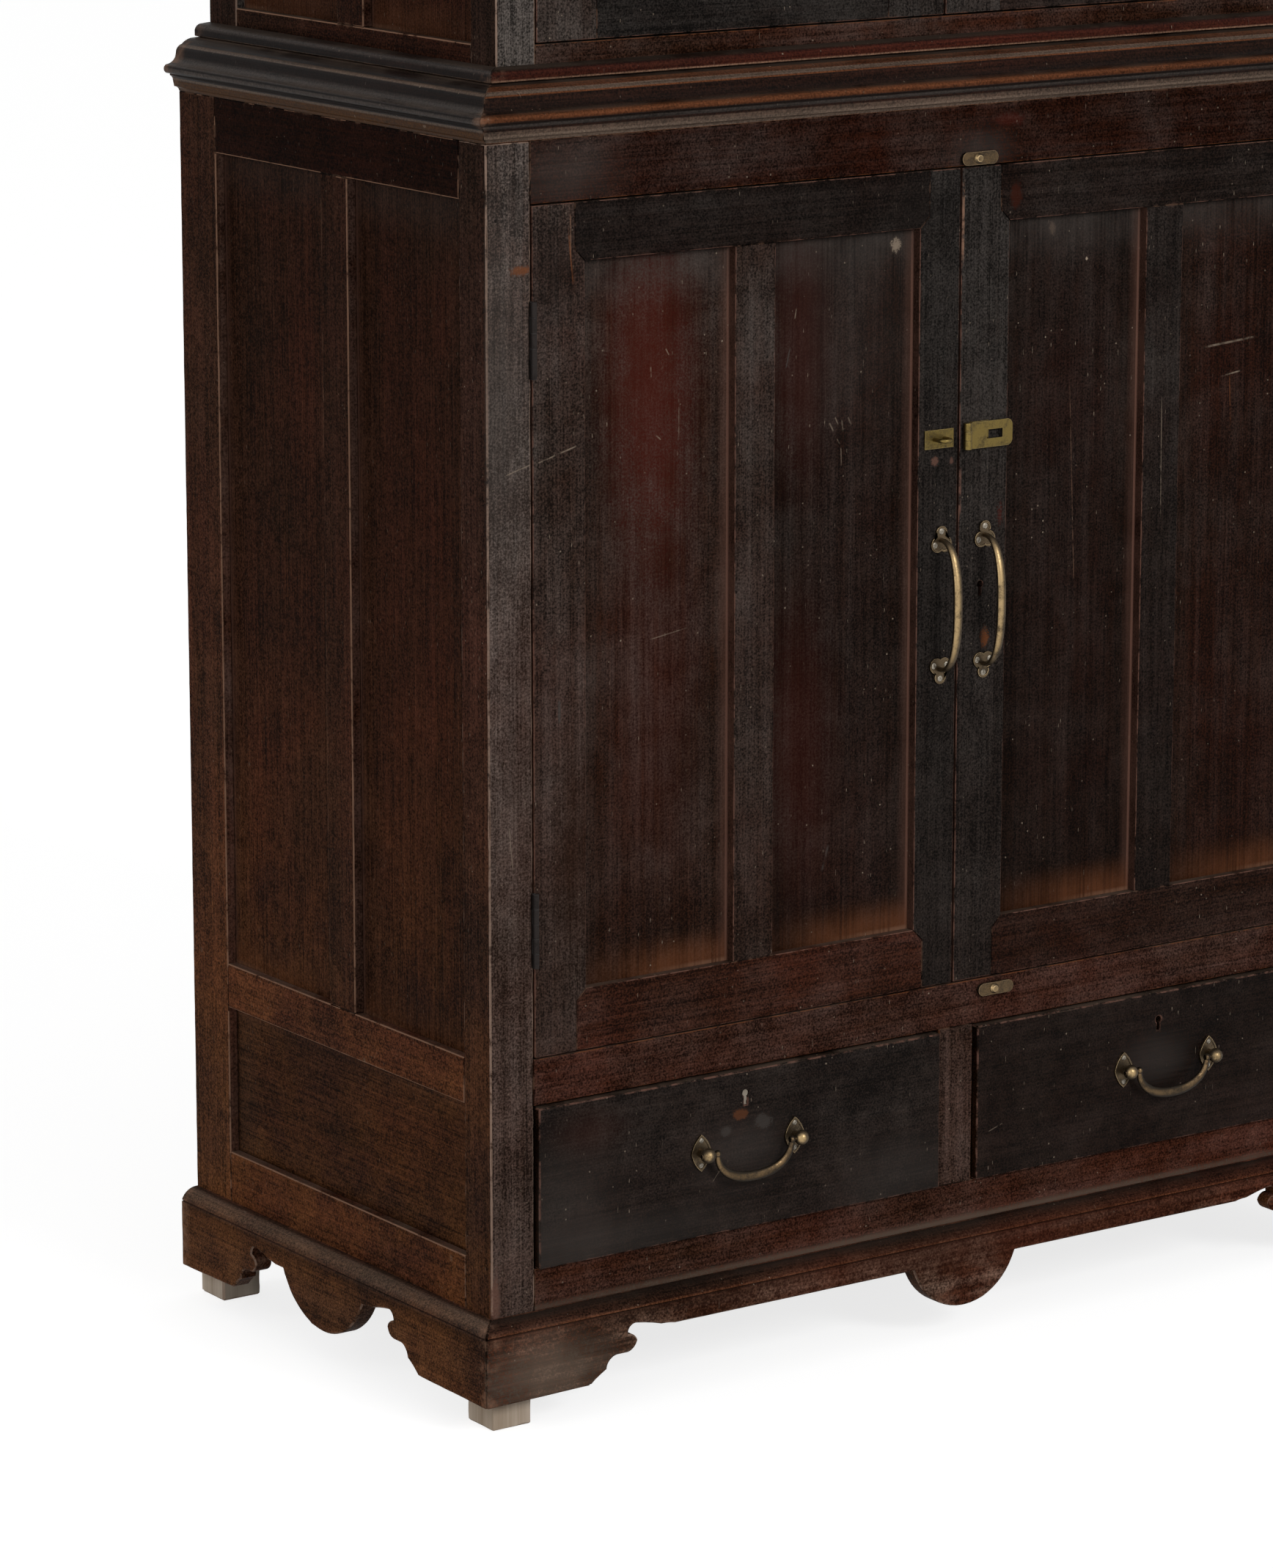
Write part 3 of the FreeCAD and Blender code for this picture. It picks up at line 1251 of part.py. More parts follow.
def lower_hinge_heights():
    """The height limits of the lower doors' hinges."""
    return hinge_places(DOOR_LOW + S.door_play, DOOR_HIGH - S.door_play)


def upper_hinge_heights():
    """The height limits of the upper doors' hinges."""
    return hinge_places(UPPER_DOOR_LOW + S.door_play, UPPER_DOOR_HIGH - S.door_play)


def hang_doors(stage, axes, heights, face, opening, widths, stiles, rails, locks):
    """The two doors of a stage with their hinges. Returns the leaves on the posts."""
    post_leaves = []
    z = (opening[0] + S.door_play, opening[1] - S.door_play)
    for word, side in (("left", 1), ("right", -1)):
        name = f"{stage}_{word}_door"
        recesses = {side: [hinge_room(name, axes[side], side, limits) for limits in heights]}
        recesses[-side] = locks[side]
        panelled_door(name, widths[side], z, face, stiles[side], rails, recesses)
        leaves = []
        for limits in heights:
            leaves += hinge_leaf(name, axes[side], side, limits, 1, False)
            post_leaves += hinge_leaf(f"{name}_post", axes[side], -side, limits, 0, True)
        sub_part(f"{stage}_{word}_hinge_leaves", leaves)
    return post_leaves


def lower_doors():
    """The lower doors, and the leaves of their hinges on the posts."""
    left_edge = OPENING_LEFT + S.door_play
    right_start = MEETING_EDGE + S.meeting_gap
    lock_height = DOOR_LOW + S.door_keyhole_height
    lock = keyhole("lower_right_door", right_start + S.door_keyhole_place, lock_height, FRONT)
    return hang_doors(
        "lower", lower_hinge_axes(), lower_hinge_heights(), FRONT, (DOOR_LOW, DOOR_HIGH),
        {1: (left_edge, MEETING_EDGE), -1: (right_start, OPENING_RIGHT - S.door_play)},
        {1: (S.hinge_stile, S.meeting_stile), -1: (S.hinge_stile, S.hinge_stile)},
        (S.door_bottom_rail, S.door_top_rail), {1: [], -1: [lock]},
    )


def upper_doors():
    """The upper doors, and the leaves of their hinges on the posts."""
    half_gap = S.meeting_gap / 2
    stiles = (S.upper_stile, S.upper_stile)
    return hang_doors(
        "upper", upper_hinge_axes(), upper_hinge_heights(), STAGE_FRONT, (UPPER_DOOR_LOW, UPPER_DOOR_HIGH),
        {1: (UPPER_LEFT + S.door_play, -half_gap), -1: (half_gap, UPPER_RIGHT - S.door_play)},
        {1: stiles, -1: stiles}, (S.upper_door_bottom_rail, S.upper_door_top_rail), {1: [], -1: []},
    )


def door_pulls():
    """The four door pulls."""
    half_gap = S.meeting_gap / 2
    middle = DOOR_LOW + S.pull_height
    door_pull("lower_left_pull", MEETING_EDGE - S.pull_from_left_edge, middle, FRONT)
    door_pull("lower_right_pull", MEETING_EDGE + S.meeting_gap + S.pull_from_right_edge, middle, FRONT)
    middle = UPPER_DOOR_LOW + S.pull_height
    door_pull("upper_left_pull", -half_gap - S.upper_pull_from_edge, middle, STAGE_FRONT)
    door_pull("upper_right_pull", half_gap + S.upper_pull_from_edge, middle, STAGE_FRONT)


def drawers():
    """The two drawers with their bails."""
    half = S.divider_width / 2
    level = (DRAWER_LOW + DRAWER_HIGH) / 2 + S.bail_rise
    drawers_across = (
        ("left", (OPENING_LEFT, -half), (S.left_keyhole_place, S.left_keyhole_drop)),
        ("right", (half, OPENING_RIGHT), (S.right_keyhole_place, S.right_keyhole_drop)),
    )
    for word, x, keyhole_place in drawers_across:
        face = drawer(word, x, keyhole_place)
        bail_handle(word, x[0] + S.bail_place, level, face)


def turn_buttons():
    """The two turn buttons of the lower right door."""
    screws = [
        turn_button("top", LEFT + S.top_button_place, DOOR_HIGH + S.top_button_height),
        turn_button("bottom", LEFT + S.bottom_button_place, DOOR_LOW - S.bottom_button_drop),
    ]
    sub_part("turn_button_screws", screws)


def upper_frame():
    """Posts, sides, rails and back boards of the upper stage."""
    front_post = (STAGE_FRONT, STAGE_FRONT + S.upper_post_depth)
    back_post = (BACK - S.upper_back_post_depth, BACK)
    between = (front_post[1], back_post[0])
    rails = [(STAGE_LOW, UPPER_DOOR_LOW), (UPPER_DOOR_HIGH, STAGE_HIGH)]
    height = (UPPER_DOOR_LOW, UPPER_DOOR_HIGH)
    middle = (between[0] + between[1]) / 2
    muntin = (middle - S.muntin_width / 2, middle + S.muntin_width / 2)
    openings = [((between[0], muntin[0]), height), ((muntin[1], between[1]), height)]
    frames = []
    panels = []
    grooves = {}
    for word, side, face in (("left", 1, STAGE_LEFT), ("right", -1, STAGE_RIGHT)):
        made = framed_side(f"upper_{word}_side", side, face, between, rails, openings, (muntin, height))
        frames += made[0]
        panels += made[1]
        grooves[side] = made[2]
    sub_part("upper_side_frames", frames)
    sub_part("upper_side_panels", panels)
    axes = upper_hinge_axes()
    rooms = {}
    for side in (1, -1):
        rooms[side] = grooves[side] + [
            hinge_room("upper_post", axes[side], -side, z) for z in upper_hinge_heights()
        ]
    faces = (STAGE_LEFT, STAGE_RIGHT)
    upright = (STAGE_LOW, STAGE_HIGH)
    posts = corner_posts("upper_front", faces, front_post, S.upper_post_face, *upright, rooms)
    posts += corner_posts("upper_back", faces, back_post, S.upper_post_face, *upright, grooves)
    sub_part("upper_posts", posts)
    across = (UPPER_LEFT, UPPER_RIGHT)
    depth = (STAGE_FRONT, STAGE_FRAME_BACK)
    back_depth = (BACK_RAIL_FRONT, BACK_RAIL_BACK)
    pieces = []
    for limits in rails:
        pieces.append(block("upper_rail", across, depth, limits))
        pieces.append(block("upper_back_rail", across, back_depth, limits))
    sub_part("upper_rails", pieces)
    sub_part("upper_back_boards", back_boards("upper_back_board", across, (STAGE_LOW, STAGE_HIGH)))


def upper_mouldings():
    """The bead round the foot of the upper stage, the cornice and the dust board inside it."""
    faces = (STAGE_LEFT, STAGE_RIGHT, STAGE_FRONT, BACK)
    none = as_length(0)
    bead = mitred_runs("bead", BEAD_SHARES, S.bead_reach, S.bead_rise, none, None, faces, STAGE_LOW)
    sub_part("upper_base_bead", bead)
    rebate = (S.rebate_width, S.dust_board_thickness)
    runs = mitred_runs(
        "cornice", CORNICE_SHARES, S.cornice_reach, S.cornice_rise, S.ring_depth, rebate, faces, STAGE_HIGH
    )
    high = STAGE_HIGH + S.cornice_rise
    shelf = high - S.dust_board_thickness
    inner = (STAGE_LEFT + S.ring_depth, STAGE_RIGHT - S.ring_depth)
    runs.append(block("cornice_back", inner, (BACK - S.frame_thickness, BACK), (STAGE_HIGH, shelf)))
    sub_part("cornice", runs)
    seat = S.ring_depth - S.rebate_width + S.board_play
    limits = (STAGE_LEFT + seat, STAGE_RIGHT - seat)
    board = block("dust_board", limits, (STAGE_FRONT + seat, BACK), (shelf, high))
    sub_part("upper_top_board", [board])


def check_and_write():
    """Recompute, refuse anything that failed, and write each sub-part to its own file."""
    DOC.recompute()
    failed = [thing.Name for thing in DOC.Objects if {"Invalid", "Error"} & set(thing.State)]
    if failed:
        raise RuntimeError(f"objects that failed: {failed}")
    os.makedirs("parts", exist_ok=True)
    for thing in SUB_PARTS:
        if thing.Shape.isNull() or not thing.Shape.isValid():
            raise RuntimeError(f"{thing.Label} has no valid shape")
    for thing in SUB_PARTS:
        thing.Shape.exportStep(f"parts/{thing.Label}.step")
        print(f"{thing.Label}: {len(thing.Shape.Solids)} solids, {thing.Shape.Volume:.0f} cubic mm")
    print(len(SUB_PARTS), "sub-parts")


base_boards()
foot_blocks()
lower_frame()
drawer_runners()
boards_and_cleats()
waist()
sub_part("hinge_post_leaves", lower_doors() + upper_doors())
door_pulls()
hasp(MEETING_EDGE + S.meeting_gap)
drawers()
turn_buttons()
upper_frame()
upper_mouldings()
check_and_write()
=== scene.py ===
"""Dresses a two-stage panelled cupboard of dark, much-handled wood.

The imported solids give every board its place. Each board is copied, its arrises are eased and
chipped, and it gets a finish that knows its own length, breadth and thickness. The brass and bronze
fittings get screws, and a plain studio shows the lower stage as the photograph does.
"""
import json
import math
import random

import bmesh
import bpy
from bpy.props import FloatProperty, FloatVectorProperty, PointerProperty
from mathutils import Euler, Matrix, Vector, noise
from mathutils.bvhtree import BVHTree


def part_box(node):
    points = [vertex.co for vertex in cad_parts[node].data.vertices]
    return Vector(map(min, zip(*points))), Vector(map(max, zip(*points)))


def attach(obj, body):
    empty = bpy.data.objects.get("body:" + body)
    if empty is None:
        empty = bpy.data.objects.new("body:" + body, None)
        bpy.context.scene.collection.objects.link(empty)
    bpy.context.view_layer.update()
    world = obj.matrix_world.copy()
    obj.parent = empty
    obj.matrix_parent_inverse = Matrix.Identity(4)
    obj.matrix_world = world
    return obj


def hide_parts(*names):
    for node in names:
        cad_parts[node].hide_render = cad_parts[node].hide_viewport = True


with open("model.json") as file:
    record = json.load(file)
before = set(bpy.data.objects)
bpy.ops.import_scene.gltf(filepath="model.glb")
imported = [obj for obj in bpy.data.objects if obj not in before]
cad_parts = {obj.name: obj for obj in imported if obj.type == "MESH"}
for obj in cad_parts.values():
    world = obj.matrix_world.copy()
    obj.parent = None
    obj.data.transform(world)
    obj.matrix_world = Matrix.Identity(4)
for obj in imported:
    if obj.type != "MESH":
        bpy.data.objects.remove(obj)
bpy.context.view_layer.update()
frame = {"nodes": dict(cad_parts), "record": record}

bl_info = {
    "name": "Panelled Cupboard",
    "version": (1, 0, 0),
    "blender": (4, 5, 0),
    "location": "View3D > Sidebar > Cupboard",
    "description": "Dresses the solids of an old two-stage panelled cupboard",
    "category": "Object",
}

SLOT_OF = {row["node"]: row["material_slot"] for row in frame["record"]["subparts"]}
BODY_OF = {
    node: body
    for body, nodes in frame["record"]["behaviour"]["bodies"].items()
    for node in nodes
}
WOOD_SLOTS = ("dark_wood", "panel_wood", "drawer_wood", "inner_wood", "new_wood")

# Two points nearer than this are one point of a board.
WELD = 0.000002
# Faces that meet at less than this angle are one flat face.
FLAT = math.radians(0.4)
# Edges sharper than this are arrises that hands and cloths have eased.
ARRIS = math.radians(38)
# Edges sharper than this break the shading.
CREASE = math.radians(32)
# A long arris is chipped at places this far apart.
CHIP_PITCH = 0.008
# An arris nearer than this to another board is a joint, where grime gathers.
JOINT_REACH = 0.0007
# How far a panel's edge lies inside its frame.
PANEL_TONGUE = 0.0067


def paint(code):
    """A colour written as six hexadecimal digits, as Blender's linear values."""
    parts = [int(code[place:place + 2], 16) / 255 for place in (0, 2, 4)]
    return tuple(
        part / 12.92 if part <= 0.04045 else ((part + 0.055) / 1.055) ** 2.4
        for part in parts
    )


# Tables of tones and marks

# How light, how red and how grey the polish is, board by board; the grey is partly the grey of old
# wax and partly painted sheen. Uprights run from left to right, or from front to back on the sides,
# and level boards run from the bottom up.
PLAIN_TONE = (1.0, 0.3, 0.15)
TONES = {
    "lower_front_posts": {"upright": [(1.43, 0.2, 0.7), (1.0, 0.15, 0.6)]},
    "lower_back_posts": {"upright": [(2.2, 0.15, 0.1)]},
    "lower_side_frames": {
        "upright": [(1.5, 0.1, 0.2)],
        "level": [(1.8, 0.3, 0.1), (2.2, 0.35, 0.1), (0.55, 0.5, 0.1)],
    },
    "lower_side_panels": {"upright": [(1.28, 0.20, 0.0), (1.60, 0.28, 0.0)], "level": [(1.45, 0.2, 0.0)]},
    "lower_rails": {"level": [(1.5, 0.35, 0.15), (1.31, 0.49, 0.25), (0.62, 0.6, 0.15)]},
    "drawer_divider": {"upright": [(1.41, 0.2, 0.55)]},
    "lower_left_door_frame": {
        "upright": [(1.02, 0.1, 0.45), (0.86, 0.05, 0.45), (0.33, 0.05, 1.0)],
        "level": [(1.15, 0.6, 0.1), (0.28, 0.15, 0.5)],
    },
    "lower_right_door_frame": {
        "upright": [(0.44, 0.09, 0.99), (0.37, 0.29, 0.6), (0.7, 0.3, 0.3)],
        "level": [(0.7, 0.4, 0.15), (0.35, 0.15, 0.4)],
    },
    "lower_left_door_panels": {"upright": [(0.74, 0.34, 0.22), (0.48, 0.36, 0.32)]},
    "lower_right_door_panels": {"upright": [(0.38, 0.39, 0.3), (0.61, 0.57, 0.14)]},
    "left_drawer_front": {"level": [(0.42, 0.0, 0.9)]},
    "right_drawer_front": {"level": [(0.33, 0.0, 0.55)]},
    "base_front_apron": {"level": [(2.0, 0.25, 0.10)]},
    "base_left_apron": {"level": [(2.05, 0.06, 0.1)]},
    "base_right_apron": {"level": [(1.9, 0.18, 0.1)]},
    "waist_moulding": {"level": [(0.86, 0.35, -0.2)]},
    "upper_base_bead": {"level": [(0.86, 0.35, -0.2)]},
    "cornice": {"level": [(0.9, 0.35, -0.1)]},
    "upper_posts": {"upright": [(1.2, 0.1, 1.0), (1.1, 0.15, 0.7)]},
    "upper_rails": {"level": [(1.1, 0.35, 0.15)]},
    "upper_side_frames": {"upright": [(1.4, 0.25, 0.15)], "level": [(1.4, 0.3, 0.1)]},
    "upper_side_panels": {"upright": [(1.5, 0.4, 0.0)], "level": [(1.5, 0.35, 0.0)]},
    "upper_left_door_frame": {
        "upright": [(0.95, 0.1, 0.5), (0.8, 0.1, 0.5), (0.45, 0.05, 0.8)],
        "level": [(0.3, 0.2, 0.83), (0.31, 0.11, 0.57)],
    },
    "upper_right_door_frame": {
        "upright": [(0.55, 0.05, 0.85), (0.42, 0.2, 0.55), (0.6, 0.2, 0.4)],
        "level": [(0.45, 0.2, 0.45), (0.35, 0.15, 0.45)],
    },
    "upper_left_door_panels": {"upright": [(0.75, 0.35, 0.2), (0.6, 0.3, 0.3)]},
    "upper_right_door_panels": {"upright": [(0.45, 0.3, 0.2), (0.6, 0.35, 0.1)]},
}

# Patches: the board, shares of its breadth and height, half sizes, tone, strength, and how deep.
PANEL_PATCHES = (
    ("lower_left_door_panels", (0.222, 0.800), (0.044, 0.135), "deep", 0.60, 0.0),
    ("lower_left_door_panels", (0.640, 0.840), (0.032, 0.110), "deep", 0.22, 0.0),
    ("lower_left_door_panels", (0.640, 0.300), (0.040, 0.120), "deep", 0.20, 0.0),
    ("lower_left_door_panels", (0.250, 0.400), (0.040, 0.150), "deep", 0.15, 0.0),
    ("lower_left_door_panels", (0.800, 0.870), (0.070, 0.090), "ash_and_sheen", 0.12, 0.0),
    ("lower_left_door_panels", (0.928, 0.966), (0.0052, 0.0060), "fleck", 0.60, 0.0),
    ("lower_right_door_panels", (0.169, 0.971), (0.004, 0.006), "dust", 0.45, 0.0),
    ("lower_right_door_panels", (0.278, 0.923), (0.0016, 0.0016), "fleck", 1.00, 0.0),
)
PANEL_SCRATCHES = (
    ("lower_right_door_panels", (0.649, 0.780), (0.836, 0.788), 0.0014, "fleck", 0.45),
    ("lower_right_door_panels", (0.708, 0.736), (0.775, 0.741), 0.0010, "fleck", 0.60),
    ("lower_right_door_panels", (0.738, 0.740), (0.745, 0.660), 0.0009, "amber", 0.50),
    ("lower_right_door_panels", (0.230, 0.760), (0.255, 0.450), 0.0006, "worn", 0.35),
    ("lower_left_door_panels", (0.640, 0.905), (0.632, 0.880), 0.0008, "fleck", 0.40),
    ("lower_left_door_panels", (0.300, 0.800), (0.300, 0.735), 0.0007, "fleck", 0.30),
    ("lower_left_door_panels", (0.735, 0.735), (0.748, 0.722), 0.0010, "fleck", 0.35),
    ("lower_left_door_panels", (0.752, 0.742), (0.762, 0.730), 0.0009, "fleck", 0.35),
    ("lower_left_door_panels", (0.765, 0.722), (0.782, 0.724), 0.0010, "fleck", 0.35),
    ("lower_left_door_panels", (0.772, 0.738), (0.776, 0.716), 0.0009, "fleck", 0.35),
    ("lower_left_door_panels", (0.790, 0.740), (0.800, 0.728), 0.0010, "fleck", 0.35),
    ("lower_left_door_panels", (0.758, 0.712), (0.766, 0.704), 0.0008, "fleck", 0.35),
    ("lower_left_door_panels", (0.770, 0.700), (0.772, 0.672), 0.0006, "fleck", 0.40),
    ("lower_left_door_panels", (0.235, 0.745), (0.250, 0.738), 0.0009, "fleck", 0.40),
    ("lower_left_door_panels", (0.262, 0.860), (0.272, 0.850), 0.0008, "fleck", 0.40),
    ("lower_left_door_panels", (0.220, 0.838), (0.222, 0.822), 0.0010, "fleck", 0.35),
    ("lower_left_door_panels", (0.620, 0.845), (0.606, 0.812), 0.0009, "ash_and_sheen", 0.80),
    ("lower_left_door_panels", (0.720, 0.110), (0.742, 0.150), 0.0016, "ash_and_sheen", 0.60),
    ("lower_left_door_panels", (0.215, 0.470), (0.330, 0.480), 0.0007, "fleck", 0.30),
)
DOOR_PATCHES = (
    ("lower_left_door_frame", (0.944, 0.650), (0.0036, 0.0034), "rose", 0.55, 0.0),
    ("lower_left_door_frame", (0.985, 0.648), (0.0024, 0.0036), "rose", 0.45, 0.0),
    ("lower_left_door_frame", (0.050, 0.920), (0.0400, 0.0700), "soot_and_shade", 0.55, 0.0),
    ("lower_left_door_frame", (0.900, 0.950), (0.0450, 0.0300), "soot_and_shade", 0.45, 0.0),
    ("lower_left_door_frame", (0.100, 0.250), (0.0310, 0.1100), "umber", 0.40, 0.0),
    ("lower_right_door_frame", (0.066, 0.425), (0.0050, 0.0080), "amber", 0.90, 0.0),
    ("lower_right_door_frame", (0.100, 0.576), (0.0040, 0.0100), "deep", 0.45, 0.0),
    ("lower_right_door_frame", (0.130, 0.962), (0.0060, 0.0100), "russet", 0.70, 0.0),
)
DOOR_SCRATCHES = (
    ("lower_right_door_frame", (0.003, 0.998), (0.003, 0.880), 0.0016, "worn", 0.80),
    ("lower_right_door_frame", (0.003, 0.640), (0.003, 0.580), 0.0014, "rose", 0.60),
    ("lower_left_door_frame", (0.086, 0.990), (0.086, 0.930), 0.0010, "worn", 0.45),
    ("lower_left_door_frame", (0.320, 0.800), (0.380, 0.812), 0.0007, "fleck", 0.35),
    ("lower_left_door_frame", (0.004, 0.703), (0.104, 0.720), 0.0009, "fleck", 0.55),
    ("lower_left_door_frame", (0.080, 0.975), (0.092, 0.905), 0.0011, "amber", 0.55),
    ("lower_left_door_frame", (0.360, 0.520), (0.366, 0.475), 0.0011, "ash_and_sheen", 0.80),
    ("lower_left_door_frame", (0.058, 0.425), (0.058, 0.395), 0.0020, "ash_and_sheen", 0.90),
    ("lower_right_door_frame", (0.500, 0.700), (0.503, 0.540), 0.0007, "fleck", 0.35),
)
POST_PATCHES = (
    ("lower_front_posts", (0.034, 0.898), (0.0120, 0.0042), "amber", 0.90, 0.0),
    ("lower_front_posts", (0.0095, 0.939), (0.0016, 0.0018), "soot_and_shade", 1.00, 0.0),
    ("lower_front_posts", (0.030, 0.955), (0.0200, 0.0300), "soot_and_shade", 0.30, 0.0),
    ("lower_front_posts", (0.012, 0.800), (0.0320, 0.1500), "ash_and_sheen", 0.50, 0.0),
    ("lower_front_posts", (0.030, 0.500), (0.0400, 0.3000), "umber", 0.35, 0.0),
    ("lower_front_posts", (0.004, 0.050), (0.0045, 0.0300), "rose", 0.50, 0.0),
)
POST_SCRATCHES = (
    ("lower_front_posts", (0.017, 0.735), (0.0445, 0.742), 0.0008, "fleck", 0.40),
    ("lower_front_posts", (0.020, 0.450), (0.024, 0.410), 0.0006, "fleck", 0.35),
    ("lower_front_posts", (0.050, 0.940), (0.050, 0.860), 0.0006, "fleck", 0.30),
    ("lower_front_posts", (0.036, 0.300), (0.037, 0.150), 0.0009, "soot_and_shade", 0.50),
)
RAIL_PATCHES = (
    ("lower_rails", (0.552, 0.985), (0.0160, 0.0060), "deep", 0.35, 0.0),
    ("lower_rails", (0.520, 0.960), (0.0320, 0.0200), "ash_and_sheen", 0.40, 0.0),
    ("lower_rails", (0.040, 0.970), (0.0500, 0.0240), "ash_and_sheen", 0.40, 0.0),
    ("lower_rails", (0.545, 0.190), (0.0160, 0.0060), "amber", 0.60, 0.0),
    ("lower_rails", (0.500, 0.0220), (0.5500, 0.0040), "dust", 0.75, 0.0),
)
RAIL_SCRATCHES = (
    ("lower_rails", (0.536, 0.942), (0.565, 0.946), 0.0014, "dust", 0.60),
)
DRAWER_PATCHES = (
    ("left_drawer_front", (0.490, 0.730), (0.0080, 0.0050), "amber", 0.50, 0.0),
    ("left_drawer_front", (0.455, 0.640), (0.0060, 0.0050), "ash_and_sheen", 0.60, 0.0),
    ("left_drawer_front", (0.545, 0.660), (0.0090, 0.0070), "ash_and_sheen", 0.60, 0.0),
    ("left_drawer_front", (0.500, 0.480), (0.0500, 0.0300), "ash_and_sheen", 0.35, 0.0),
    ("left_drawer_front", (0.040, 0.300), (0.0600, 0.0600), "ash_and_sheen", 0.30, 0.0),
    ("left_drawer_front", (0.200, 0.100), (0.1200, 0.0200), "ash_and_sheen", 0.30, 0.0),
    ("left_drawer_front", (0.900, 0.150), (0.0600, 0.0300), "ash_and_sheen", 0.30, 0.0),
    ("left_drawer_front", (0.120, 0.800), (0.0400, 0.0200), "russet", 0.25, 0.0),
    ("right_drawer_front", (0.480, 0.560), (0.0400, 0.0240), "ash_and_sheen", 0.35, 0.0),
)
DRAWER_SCRATCHES = (
    ("left_drawer_front", (0.420, 0.330), (0.445, 0.420), 0.0006, "fleck", 0.40),
    ("right_drawer_front", (0.030, 0.300), (0.070, 0.340), 0.0006, "fleck", 0.40),
)
BASE_PATCHES = (
    ("base_front_apron", (0.060, 0.300), (0.0700, 0.0300), "dust", 0.75, 0.0),
    ("base_front_apron", (0.500, 0.700), (0.3000, 0.0300), "russet", 0.45, 0.0),
)
# Bands of a moulding: how far above its foot, the tone there, and how strong it is. Beside the
# moulding's own tones the bands paint its highlights, sheen and shadow lines, and the front and the
# sides have their own bands for the light that falls on each.
WAIST_FRONT = (
    (0.0000, "amber", 0.40), (0.0008, "dust", 0.85), (0.0058, "dust", 0.95), (0.0068, "dust", 0.60),
    (0.0092, "dust", 0.55), (0.0102, "soot_and_shade", 0.60), (0.0116, "soot_and_shade", 0.55), (0.0126, "ash_and_sheen", 0.90),
    (0.0152, "ash_and_sheen", 0.95), (0.0160, "soot_and_shade", 0.85), (0.0174, "soot_and_shade", 0.85), (0.0186, "amber", 0.40),
    (0.0209, "amber", 0.66), (0.0226, "amber", 0.45), (0.0238, "soot_and_shade", 0.50), (0.0260, "soot_and_shade", 0.75),
    (0.0340, "soot_and_shade", 0.45), (0.0358, "soot_and_shade", 0.70), (0.0363, "amber", 0.70), (0.0369, "amber", 0.60),
    (0.0375, "dust", 0.75), (0.0396, "dust", 0.75), (0.0404, "amber", 0.20), (0.0424, "amber", 0.30),
    (0.0432, "soot_and_shade", 0.95), (0.0444, "soot_and_shade", 0.90), (0.0450, "worn", 0.80), (0.0462, "worn", 0.70),
    (0.0472, "deep", 0.30), (0.0520, "deep", 0.35), (0.0540, "soot_and_shade", 0.60), (0.0560, "soot_and_shade", 0.95),
)
WAIST_SIDE = (
    (0.0000, "honey", 0.60), (0.0010, "honey", 0.90), (0.0090, "honey", 0.80), (0.0098, "dust", 0.85),
    (0.0110, "dust", 0.75), (0.0118, "soot_and_shade", 0.90), (0.0168, "soot_and_shade", 0.95), (0.0176, "ash_and_sheen", 0.80),
    (0.0200, "ash_and_sheen", 0.80), (0.0208, "soot_and_shade", 0.95), (0.0216, "soot_and_shade", 0.90), (0.0232, "ash_and_sheen", 0.85),
    (0.0262, "ash_and_sheen", 0.80), (0.0300, "soot_and_shade", 0.80), (0.0366, "soot_and_shade", 0.95), (0.0374, "dust", 0.80),
    (0.0386, "dust", 0.70), (0.0394, "soot_and_shade", 0.95), (0.0436, "soot_and_shade", 0.95), (0.0444, "dust", 0.70),
    (0.0452, "dust", 0.60), (0.0460, "soot_and_shade", 0.90), (0.0500, "soot_and_shade", 0.80), (0.0530, "ash_and_sheen", 0.70),
    (0.0560, "soot_and_shade", 0.90),
)
BASE_FRONT = (
    (0.0000, "dust", 0.00), (0.0500, "dust", 0.00), (0.0575, "soot_and_shade", 0.30), (0.0590, "soot_and_shade", 0.60),
    (0.0605, "amber", 0.35), (0.0620, "soot_and_shade", 0.35), (0.0670, "soot_and_shade", 0.75), (0.0700, "soot_and_shade", 0.98),
)
BASE_SIDE = (
    (0.0000, "dust", 0.00), (0.0480, "soot_and_shade", 0.10), (0.0560, "soot_and_shade", 0.45), (0.0610, "ash_and_sheen", 0.40),
    (0.0650, "dust", 0.55), (0.0690, "dust", 0.60), (0.0700, "soot_and_shade", 0.60),
)
# Metal is painted brightest where it faces this way, forward and a little to the left, as a painted highlight.
HIGHLIGHT_WAY = (-0.5, -0.85, 0.15)
# How deep into a board a patch or a scratch still shows.
MARK_DEPTH = 0.004
# Patches broader than this fade out softly.
SOFT_PATCH = 0.03

# How far chips bite into the arrises of a node.
CHIPS = {
    "lower_front_posts": 0.0022, "base_front_apron": 0.0016, "base_left_apron": 0.0016,
    "left_drawer_front": 0.0012, "right_drawer_front": 0.0012, "foot_blocks": 0.0020,
    "waist_moulding": 0.0002, "drawer_divider": 0.0012, "lower_rails": 0.0007,
}
PLAIN_CHIP = 0.0005


# Settings


def colour_of(name, description, code):
    """A colour property with a plain default."""
    return FloatVectorProperty(
        name=name, description=description, default=paint(code), subtype="COLOR", size=3, min=0, max=1
    )


def length_of(name, description, default):
    """A length property in metres."""
    return FloatProperty(
        name=name, description=description, default=default, min=0, unit="LENGTH", precision=4
    )


